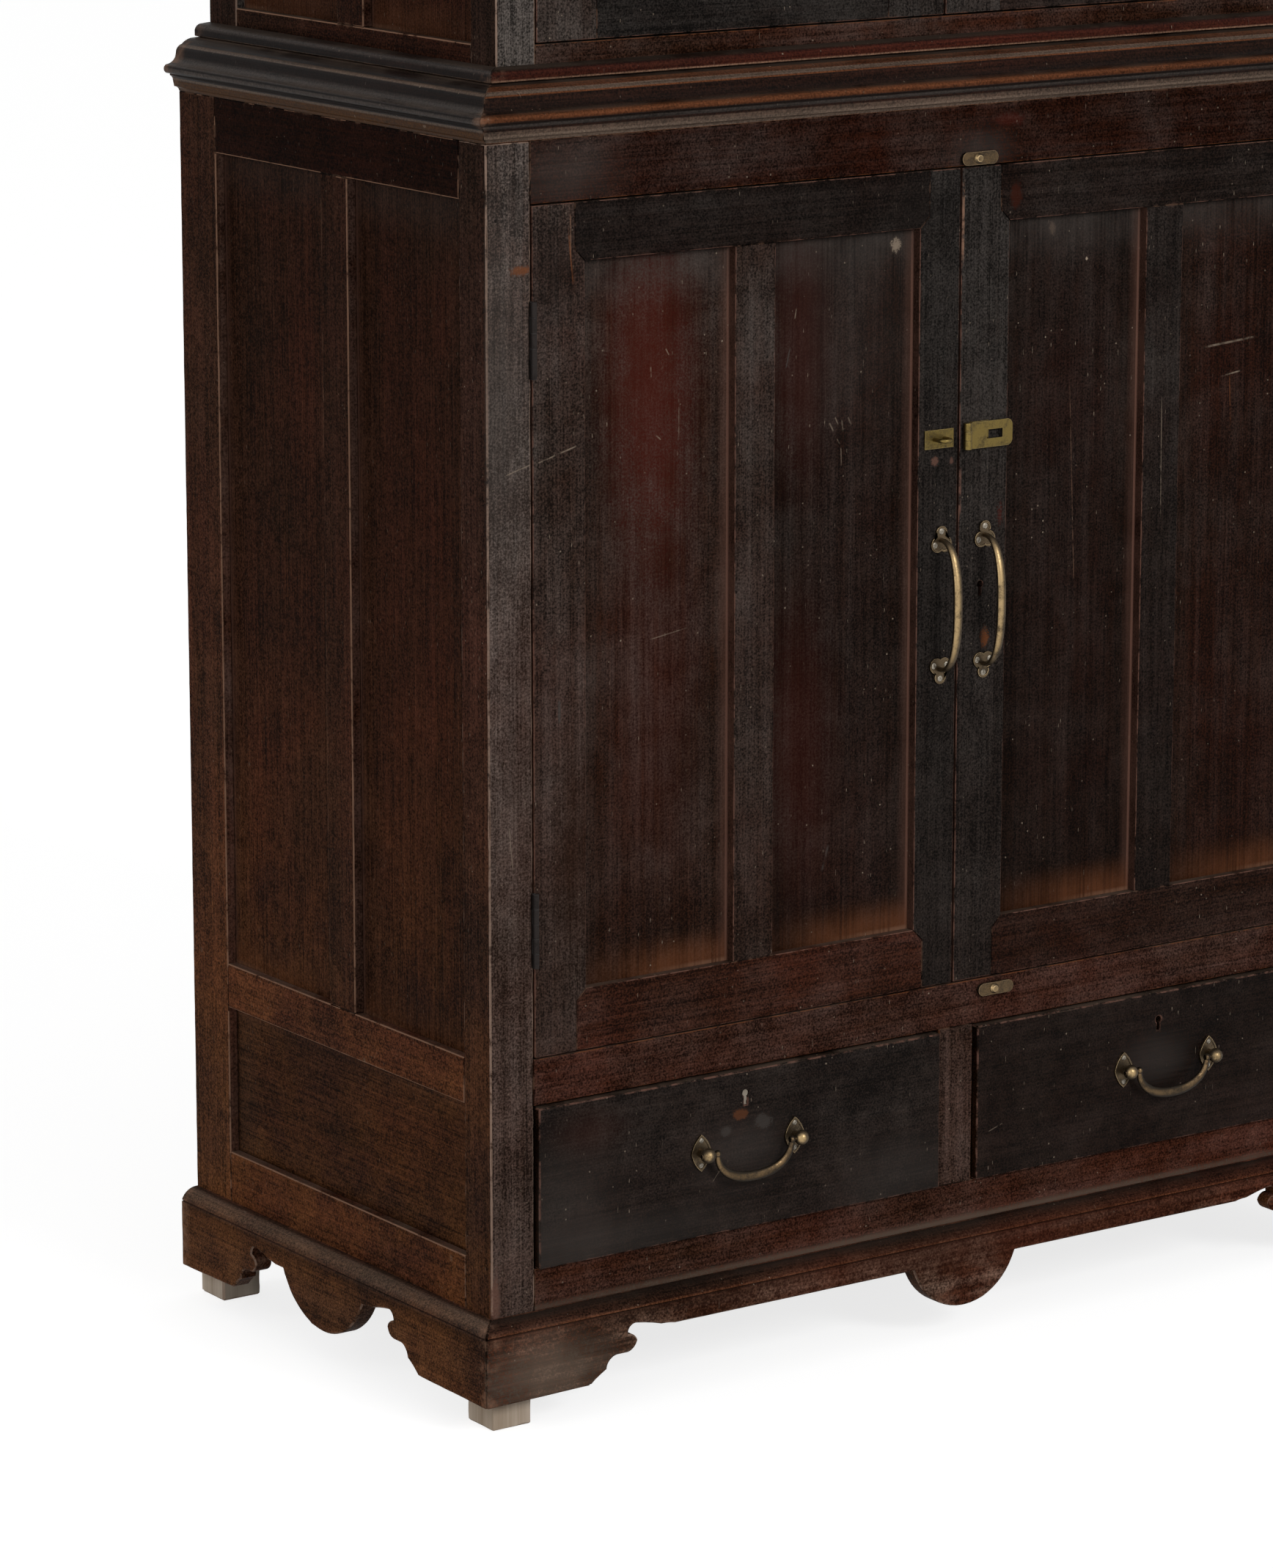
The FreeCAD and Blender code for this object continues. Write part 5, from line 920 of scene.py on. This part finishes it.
def solid_copy(node, ease, chips=0.0, segments=2):
    """A merged copy of a CAD node with its outer arrises eased, and the eased faces marked."""
    work = welded(node)
    if chips:
        for edge in arrises(work, ease):
            divide(edge, CHIP_PITCH)
    arris = work.faces.layers.float.new("arris")
    sharp = arrises(work, ease)
    if ease and sharp:
        made = bmesh.ops.bevel(
            work, geom=sharp, offset=ease, offset_type="OFFSET", segments=segments, profile=0.5,
            affect="EDGES", clamp_overlap=False,
        )
        for face in made["faces"]:
            face[arris] = 1.0
    if chips:
        work.normal_update()
        chip(work, arris, chips)
        work.normal_update()
    return work


def tone_of(node, kind, rank):
    """The tone of one board from the tables."""
    rows = TONES.get(node, {}).get(kind) or [PLAIN_TONE]
    return rows[min(rank, len(rows) - 1)]


def mark_boards(work, node, boxes):
    """Gives each point of a board its place on that board, and the board's own tone."""
    board = work.verts.layers.float_vector.new("board")
    half = work.verts.layers.float_vector.new("half")
    tone = work.verts.layers.float_vector.new("tone")
    seed = work.verts.layers.float_vector.new("seed")
    proud = work.verts.layers.float.new("proud")
    look = work.faces.layers.float_vector.new("look")
    joint = work.faces.layers.float.new("joint")
    arris = work.faces.layers.float["arris"]
    for face in work.faces:
        face[look] = face.normal
    chance = random.Random(node)
    rows = []
    for part in loose_parts(work):
        low, high = box_of(part)
        order = sorted(range(3), key=lambda axis: high[axis] - low[axis], reverse=True)
        rows.append((part, low, high, order))
    rows.sort(key=lambda row: [round(value, 3) for value in (*row[1], *row[2])])
    on_side = "side" in node
    ranks = {}
    for part, low, high, order in sorted(rows, key=lambda row: rank_key(row, on_side)):
        centre, size = (low + high) / 2, high - low
        kind = "upright" if order[0] == 2 else "level"
        group = (kind, on_side and centre.x > 0)
        ranks[group] = ranks.get(group, -1) + 1
        lift, red, grey = tone_of(node, kind, ranks[group])
        tones = (lift * chance.uniform(0.94, 1.06), red + chance.uniform(-0.05, 0.05), grey)
        numbers = [chance.uniform(0, 10) for _ in range(3)]
        for vert in part:
            away = vert.co - centre
            vert[board] = [away[axis] for axis in order]
            vert[half] = [size[axis] / 2 for axis in order]
            vert[tone] = tones
            vert[seed] = numbers
            vert[proud] = (high.y - vert.co.y) / max(size.y, WELD)
        near = [
            box for box in boxes
            if ((box[0] + box[1]) / 2 - centre).length > JOINT_REACH * 2
            and all(box[0][axis] - JOINT_REACH < high[axis] for axis in range(3))
            and all(box[1][axis] + JOINT_REACH > low[axis] for axis in range(3))
        ]
        for face in {face for vert in part for face in vert.link_faces if face[arris]}:
            place = face.calc_center_median()
            if any(within(place, box) for box in near):
                face[joint] = 1.0


def rank_key(row, on_side):
    """What boards of one node are ranked by."""
    centre = (row[1] + row[2]) / 2
    upright = row[3][0] == 2
    return round(centre.y if on_side and upright else centre.x if upright else centre.z, 4)


def within(place, box):
    """True if a place lies in a box or just outside it."""
    low, high = box
    return all(
        low[axis] - JOINT_REACH < place[axis] < high[axis] + JOINT_REACH for axis in range(3)
    )


def piece_from(work, name, finish, body):
    """A finished mesh as an object that rides on a body."""
    mesh = bpy.data.meshes.new(name)
    for face in work.faces:
        face.smooth = True
    for edge in work.edges:
        if len(edge.link_faces) != 2 or edge.calc_face_angle(0) > CREASE:
            edge.smooth = False
    work.to_mesh(mesh)
    work.free()
    mesh.materials.append(finish)
    piece = bpy.data.objects.new(name, mesh)
    bpy.context.scene.collection.objects.link(piece)
    weighted = piece.modifiers.new("even_faces", "WEIGHTED_NORMAL")
    weighted.keep_sharp = True
    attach(piece, body)
    return piece


def dress(nodes, finish, ease, ending="boards", chipped=True):
    """Replaces CAD nodes with eased copies in one finish."""
    if not BOXES:
        BOXES.update(board_boxes())
    for node in nodes:
        work = solid_copy(node, ease, CHIPS.get(node, PLAIN_CHIP) if chipped else 0.0)
        mark_boards(work, node, BOXES.get(BODY_OF[node], ()) if chipped else ())
        piece = piece_from(work, f"{node}_{ending}", finishes()[finish], BODY_OF[node])
        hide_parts(node)


BOXES = {}
DOORS = [f"{stage}_{side}_door" for stage in ("lower", "upper") for side in ("left", "right")]
PULLS = [f"{stage}_{side}_pull" for stage in ("lower", "upper") for side in ("left", "right")]


class CUPBOARD_OT_carcass(bpy.types.Operator):
    """Dress the posts and rails of both stages"""

    bl_idname = "cupboard.carcass"
    bl_label = "Carcass"

    def execute(self, context):
        ease = settings().polish.ease
        dress(["lower_rails", "drawer_divider", "upper_rails"], "carcass", ease)
        dress(["lower_front_posts", "upper_posts"], "post", ease * 2)
        dress(["lower_side_frames", "lower_back_posts", "upper_side_frames"], "side_frame", ease * 1.6)
        return {"FINISHED"}


class CUPBOARD_OT_doors(bpy.types.Operator):
    """Dress the door frames and every panel"""

    bl_idname = "cupboard.doors"
    bl_label = "Doors and Panels"

    def execute(self, context):
        ease = settings().polish.ease
        dress([f"{door}_frame" for door in DOORS], "door", ease)
        dress([f"{door}_panels" for door in DOORS], "panel", ease)
        dress(["lower_side_panels", "upper_side_panels"], "side_panel", ease)
        return {"FINISHED"}


# The filling of a keyhole: shares of the drawer front, how deep, its half sizes, and how rough.
FILL_PLACE = (0.502, 0.828)
FILL_DEPTH = 0.0030
FILL_HALF = (0.0050, 0.0014, 0.0090)
FILL_ROUGH = 0.0010


class CUPBOARD_OT_drawers(bpy.types.Operator):
    """Dress the drawers"""

    bl_idname = "cupboard.drawers"
    bl_label = "Drawers"

    def execute(self, context):
        ease = settings().polish.ease
        dress(["left_drawer_front", "right_drawer_front"], "drawer", ease * 2)
        dress(["left_drawer_box", "right_drawer_box"], "inside", ease)
        self.keyhole_fill()
        return {"FINISHED"}

    def keyhole_fill(self):
        """The pale stuff that fills the left drawer's keyhole."""
        work = bmesh.new()
        bmesh.ops.create_cube(work, size=2)
        bmesh.ops.subdivide_edges(work, edges=work.edges, cuts=7, use_grid_fill=True)
        centre = spot_on("left_drawer_front", FILL_PLACE, FILL_DEPTH)
        for vert in work.verts:
            vert.co = centre + Vector(a * b for a, b in zip(vert.co, FILL_HALF))
            vert.co.y += noise.noise(vert.co * 420) * FILL_ROUGH
        work.normal_update()
        piece = piece_from(work, "keyhole_fill", finishes()["fill"], BODY_OF["left_drawer_front"])


class CUPBOARD_OT_mouldings(bpy.types.Operator):
    """Dress the waist, the bead and the cornice"""

    bl_idname = "cupboard.mouldings"
    bl_label = "Mouldings"

    def execute(self, context):
        dress(
            ["waist_moulding", "upper_base_bead", "cornice"], "moulding",
            settings().polish.moulding_ease,
        )
        return {"FINISHED"}


class CUPBOARD_OT_base(bpy.types.Operator):
    """Dress the bracket base and its foot blocks"""

    bl_idname = "cupboard.base"
    bl_label = "Base"

    def execute(self, context):
        ease = settings().polish.ease
        dress(["base_front_apron", "base_left_apron", "base_right_apron"], "base", ease * 2)
        dress(["foot_blocks"], "foot", ease * 3)
        return {"FINISHED"}


class CUPBOARD_OT_inside(bpy.types.Operator):
    """Dress the boards inside and behind"""

    bl_idname = "cupboard.inside"
    bl_label = "Inside"

    def execute(self, context):
        dress(
            ["lower_back_rails", "lower_back_boards", "drawer_runners", "cupboard_floor",
             "lower_shelf", "upper_floor", "upper_shelves", "shelf_cleats", "lower_top_board",
             "upper_back_boards", "upper_top_board"],
            "inside", settings().polish.ease,
        )
        return {"FINISHED"}


class CUPBOARD_OT_ironwork(bpy.types.Operator):
    """Dress the iron hinges"""

    bl_idname = "cupboard.ironwork"
    bl_label = "Ironwork"

    def execute(self, context):
        leaves = [f"{stage}_{side}_hinge_leaves" for stage in ("lower", "upper") for side in ("left", "right")]
        dress(["hinge_post_leaves", *leaves], "iron", settings().fitting.edge, "iron", False)
        return {"FINISHED"}


class CUPBOARD_OT_brasswork(bpy.types.Operator):
    """Dress the pulls, bails, hasp and turn buttons"""

    bl_idname = "cupboard.brasswork"
    bl_label = "Brasswork"

    def execute(self, context):
        edge = settings().fitting.edge
        dress(
            [*PULLS, "left_bail_rosettes", "right_bail_rosettes", "turn_button_screws"],
            "bronze", edge, "bronze", False,
        )
        dress(
            ["left_bail", "right_bail", "top_turn_button", "bottom_turn_button"],
            "bail", edge, "bronze", False,
        )
        dress(["hasp_staple", "hasp_fixed_leaf", "hasp_slotted_leaf"], "brass", edge, "brass", False)
        return {"FINISHED"}


# Screws

# The middle of a pull's screw plate below the plate's tip, and its screws from there.
PLATE_TIP = 0.0123
PLATE_SCREWS = ((0.0, 0.0078), (-0.0068, -0.0036), (0.0068, -0.0036))
# The middle of a bail's rosette inside its edge, and its screws above and below the ball.
ROSETTE_WING = 0.010
ROSETTE_SCREW = 0.0108
# The screw in the lower hole of the hasp's fixed leaf, from the leaf's far lower corner.
HASP_SCREW = (-0.0101, 0.00375)


def pull_screws(node):
    """Where the screws of a door pull go."""
    low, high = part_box(node)
    middle = (low.x + high.x) / 2
    for edge, turned in ((high.z - PLATE_TIP, 1), (low.z + PLATE_TIP, -1)):
        for across, up in PLATE_SCREWS:
            yield middle + across, edge + up * turned


def rosette_screws(node):
    """Where the screws of a bail's two rosettes go."""
    low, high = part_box(node)
    for x in (low.x + ROSETTE_WING, high.x - ROSETTE_WING):
        for way in (-1, 1):
            yield x, (low.z + high.z) / 2 + way * ROSETTE_SCREW


def hasp_screws(node):
    """Where the one screw of the hasp's fixed leaf goes."""
    low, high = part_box(node)
    yield high.x + HASP_SCREW[0], low.z + HASP_SCREW[1]


def screw_tree(finish):
    """A tree that puts a slotted domed head on every point."""
    tree = bpy.data.node_groups.new("slotted_screws", "GeometryNodeTree")
    face = tree.interface
    face.new_socket("Geometry", in_out="INPUT", socket_type="NodeSocketGeometry")
    for name in ("Head", "Rise", "Slot"):
        face.new_socket(name, in_out="INPUT", socket_type="NodeSocketFloat")
    face.new_socket("Geometry", in_out="OUTPUT", socket_type="NodeSocketGeometry")

    def add(kind, node_settings=(), inputs=()):
        node = tree.nodes.new(kind)
        for name, value in dict(node_settings).items():
            setattr(node, name, value)
        for key, value in dict(inputs).items():
            if isinstance(value, bpy.types.NodeSocket):
                tree.links.new(value, node.inputs[key])
            else:
                node.inputs[key].default_value = value
        return node

    given = add("NodeGroupInput").outputs
    flatter = add("ShaderNodeMath", {"operation": "DIVIDE"}, {0: given["Rise"], 1: given["Head"]})
    squash = add("ShaderNodeCombineXYZ", inputs={0: 1.0, 1: 1.0, 2: flatter.outputs[0]})
    ball = add("GeometryNodeMeshUVSphere", inputs={"Segments": 20, "Rings": 10, "Radius": given["Head"]})
    dome = add("GeometryNodeTransform", inputs={"Geometry": ball.outputs[0], "Scale": squash.outputs[0]})
    wide = add("ShaderNodeMath", {"operation": "MULTIPLY"}, {0: given["Head"], 1: 3.0})
    groove_size = add(
        "ShaderNodeCombineXYZ", inputs={0: wide.outputs[0], 1: given["Slot"], 2: given["Rise"]}
    )
    lifted = add("ShaderNodeCombineXYZ", inputs={2: given["Rise"]})
    groove = add("GeometryNodeMeshCube", inputs={"Size": groove_size.outputs[0]})
    groove = add(
        "GeometryNodeTransform", inputs={"Geometry": groove.outputs[0], "Translation": lifted.outputs[0]}
    )
    under_size = add("ShaderNodeCombineXYZ", inputs={i: wide.outputs[0] for i in range(3)})
    drop = add("ShaderNodeMath", {"operation": "MULTIPLY"}, {0: wide.outputs[0], 1: -0.515})
    sunk = add("ShaderNodeCombineXYZ", inputs={2: drop.outputs[0]})
    under = add("GeometryNodeMeshCube", inputs={"Size": under_size.outputs[0]})
    under = add(
        "GeometryNodeTransform", inputs={"Geometry": under.outputs[0], "Translation": sunk.outputs[0]}
    )
    head = add("GeometryNodeMeshBoolean", {"operation": "DIFFERENCE"}, {"Mesh 1": dome.outputs[0]})
    tree.links.new(groove.outputs[0], head.inputs["Mesh 2"])
    tree.links.new(under.outputs[0], head.inputs["Mesh 2"])
    turn = add("GeometryNodeInputNamedAttribute", {"data_type": "FLOAT_VECTOR"}, {"Name": "turn"})
    spun = add("FunctionNodeEulerToRotation", inputs={0: turn.outputs["Attribute"]})
    heads = add(
        "GeometryNodeInstanceOnPoints",
        inputs={"Points": given["Geometry"], "Instance": head.outputs[0], "Rotation": spun.outputs[0]},
    )
    real = add("GeometryNodeRealizeInstances", inputs={0: heads.outputs[0]})
    painted = add("GeometryNodeSetMaterial", inputs={0: real.outputs[0], "Material": finish})
    add("NodeGroupOutput", inputs={0: painted.outputs[0]})
    return tree


def seat(surface, x, z):
    """Where a line from in front meets a fitting."""
    hit = surface.ray_cast(Vector((x, -1, z)), Vector((0, 1, 0)))[0]
    if hit is None:
        raise RuntimeError(f"no seat for a screw at {x:.4f}, {z:.4f}")
    return hit


class CUPBOARD_OT_screws(bpy.types.Operator):
    """Put slotted screws in the screw plates"""

    bl_idname = "cupboard.screws"
    bl_label = "Screws"

    def execute(self, context):
        fitting = settings().fitting
        tree = screw_tree(finishes()["screw"])
        keys = {
            socket.name: socket.identifier
            for socket in tree.interface.items_tree if socket.in_out == "INPUT"
        }
        groups = [(node, pull_screws, 1.0, 0.0) for node in PULLS]
        groups += [(f"{side}_bail_rosettes", rosette_screws, 0.85, 0.0) for side in ("left", "right")]
        groups.append(("hasp_fixed_leaf", hasp_screws, 1.0, 0.0026))
        for node, places, size, aside in groups:
            work = welded(node)
            surface = BVHTree.FromBMesh(work)
            work.free()
            points = []
            for x, z in places(node):
                point = seat(surface, x + aside, z)
                points.append((x, point.y, z))
            mesh = bpy.data.meshes.new(f"{node}_points")
            mesh.from_pydata(points, [], [])
            turns = mesh.attributes.new("turn", "FLOAT_VECTOR", "POINT")
            chance = random.Random(f"{node} screws")
            for row in turns.data:
                row.vector = (math.pi / 2, chance.uniform(0, math.pi), 0)
            points_object = bpy.data.objects.new(f"{node}_points", mesh)
            context.scene.collection.objects.link(points_object)
            made = points_object.modifiers.new("screws", "NODES")
            made.node_group = tree
            made[keys["Head"]] = fitting.head * size
            made[keys["Rise"]] = fitting.rise * size
            made[keys["Slot"]] = fitting.slot
            plain = bpy.data.meshes.new_from_object(
                points_object.evaluated_get(context.evaluated_depsgraph_get())
            )
            plain.name = f"{node}_screws"
            points_object.modifiers.remove(made)
            bpy.data.objects.remove(points_object)
            piece = bpy.data.objects.new(f"{node}_screws", plain)
            context.scene.collection.objects.link(piece)
            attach(piece, BODY_OF[node])
        return {"FINISHED"}


# Studio


class CUPBOARD_OT_studio(bpy.types.Operator):
    """Set up the floor, the lamps and the camera"""

    bl_idname = "cupboard.studio"
    bl_label = "Studio"

    def execute(self, context):
        studio = settings().studio
        self.floor(studio)
        self.world(studio)
        lamps = (
            ("key_lamp", (0.4, -4.7, 3.0), (0, 0, 0.9), (1.6, 1.6), studio.key),
            ("fill_lamp", (-4.2, -2.4, 1.5), (-0.3, 0, 0.8), (1.6, 1.6), studio.fill),
            ("rim_lamp", (-3.9, 1.2, 2.2), (-0.4, 0, 0.9), (0.3, 2.0), studio.rim),
        )
        for name, place, aim, size, strength in lamps:
            data = bpy.data.lights.new(name, "AREA")
            data.energy = strength
            data.shape = "RECTANGLE"
            data.size, data.size_y = size
            lamp = bpy.data.objects.new(name, data)
            context.scene.collection.objects.link(lamp)
            lamp.location = place
            lamp.rotation_euler = (Vector(aim) - Vector(place)).to_track_quat("-Z", "Y").to_euler()
        data = bpy.data.cameras.new("camera")
        camera = bpy.data.objects.new("camera", data)
        context.scene.collection.objects.link(camera)
        camera.location = studio.camera
        camera.rotation_euler = Euler((studio.pitch, 0.0, studio.yaw))
        data.lens = studio.lens
        data.clip_end = 60
        context.scene.camera = camera
        context.scene.view_settings.view_transform = "Standard"
        return {"FINISHED"}

    def floor(self, studio):
        """A pale floor that keeps a soft shadow."""
        work = bmesh.new()
        bmesh.ops.create_grid(work, x_segments=2, y_segments=2, size=studio.floor)
        mesh = bpy.data.meshes.new("floor")
        work.to_mesh(mesh)
        work.free()
        floor = bpy.data.objects.new("floor", mesh)
        bpy.context.scene.collection.objects.link(floor)
        bench = Bench("pale_floor")
        cloth = bench.add("ShaderNodeBsdfDiffuse", inputs={"Color": (0.5, 0.5, 0.5)})
        glow = bench.add("ShaderNodeEmission", inputs={"Color": (1, 1, 1), "Strength": studio.glow})
        both = bench.add("ShaderNodeAddShader", inputs=(cloth, glow))
        shader = bench.add("ShaderNodeMixShader", inputs=(seen(bench), cloth, both))
        bench.add("ShaderNodeOutputMaterial", inputs=(shader,))
        mesh.materials.append(bench.material)

    def world(self, studio):
        """White to the eye and in reflections, and a plain soft light otherwise."""
        world = bpy.data.worlds.new("studio")
        world.use_nodes = True
        bpy.context.scene.world = world
        bench = Bench.__new__(Bench)
        bench.tree = world.node_tree
        bench.tree.nodes.clear()
        strength = seen(bench) * (1 - studio.sky) + studio.sky
        sky = bench.add("ShaderNodeBackground", inputs={"Color": (1, 1, 1), "Strength": strength})
        bench.add("ShaderNodeOutputWorld", inputs=(sky,))


def seen(bench):
    """1 for rays from the camera and for reflections, and 0 for soft light."""
    camera = bench.add("ShaderNodeLightPath", output="Is Camera Ray")
    outputs = camera.socket.node.outputs
    glossy = Amount(bench, outputs["Is Glossy Ray"])
    through = Amount(bench, outputs["Is Transmission Ray"])
    return camera.most(glossy).most(through)


class CUPBOARD_PT_panel(bpy.types.Panel):
    """The cupboard's operators in the sidebar"""

    bl_idname = "CUPBOARD_PT_panel"
    bl_label = "Panelled Cupboard"
    bl_space_type = "VIEW_3D"
    bl_region_type = "UI"
    bl_category = "Cupboard"

    def draw(self, context):
        for operator in OPERATORS:
            self.layout.operator(operator.bl_idname)


OPERATORS = (
    CUPBOARD_OT_carcass,
    CUPBOARD_OT_doors,
    CUPBOARD_OT_drawers,
    CUPBOARD_OT_mouldings,
    CUPBOARD_OT_base,
    CUPBOARD_OT_inside,
    CUPBOARD_OT_ironwork,
    CUPBOARD_OT_brasswork,
    CUPBOARD_OT_screws,
    CUPBOARD_OT_studio,
)
CLASSES = (
    PolishSettings, FittingSettings, StudioSettings, CupboardSettings, *OPERATORS, CUPBOARD_PT_panel,
)


def register():
    """Adds the cupboard's classes and settings to Blender."""
    for item in CLASSES:
        bpy.utils.register_class(item)
    bpy.types.Scene.panelled_cupboard = PointerProperty(type=CupboardSettings)


def unregister():
    """Takes them out again."""
    del bpy.types.Scene.panelled_cupboard
    for item in reversed(CLASSES):
        bpy.utils.unregister_class(item)


def main():
    """Dresses the whole cupboard."""
    register()
    for operator in OPERATORS:
        group, action = operator.bl_idname.split(".")
        getattr(getattr(bpy.ops, group), action)()


if __name__ == "__main__":
    main()
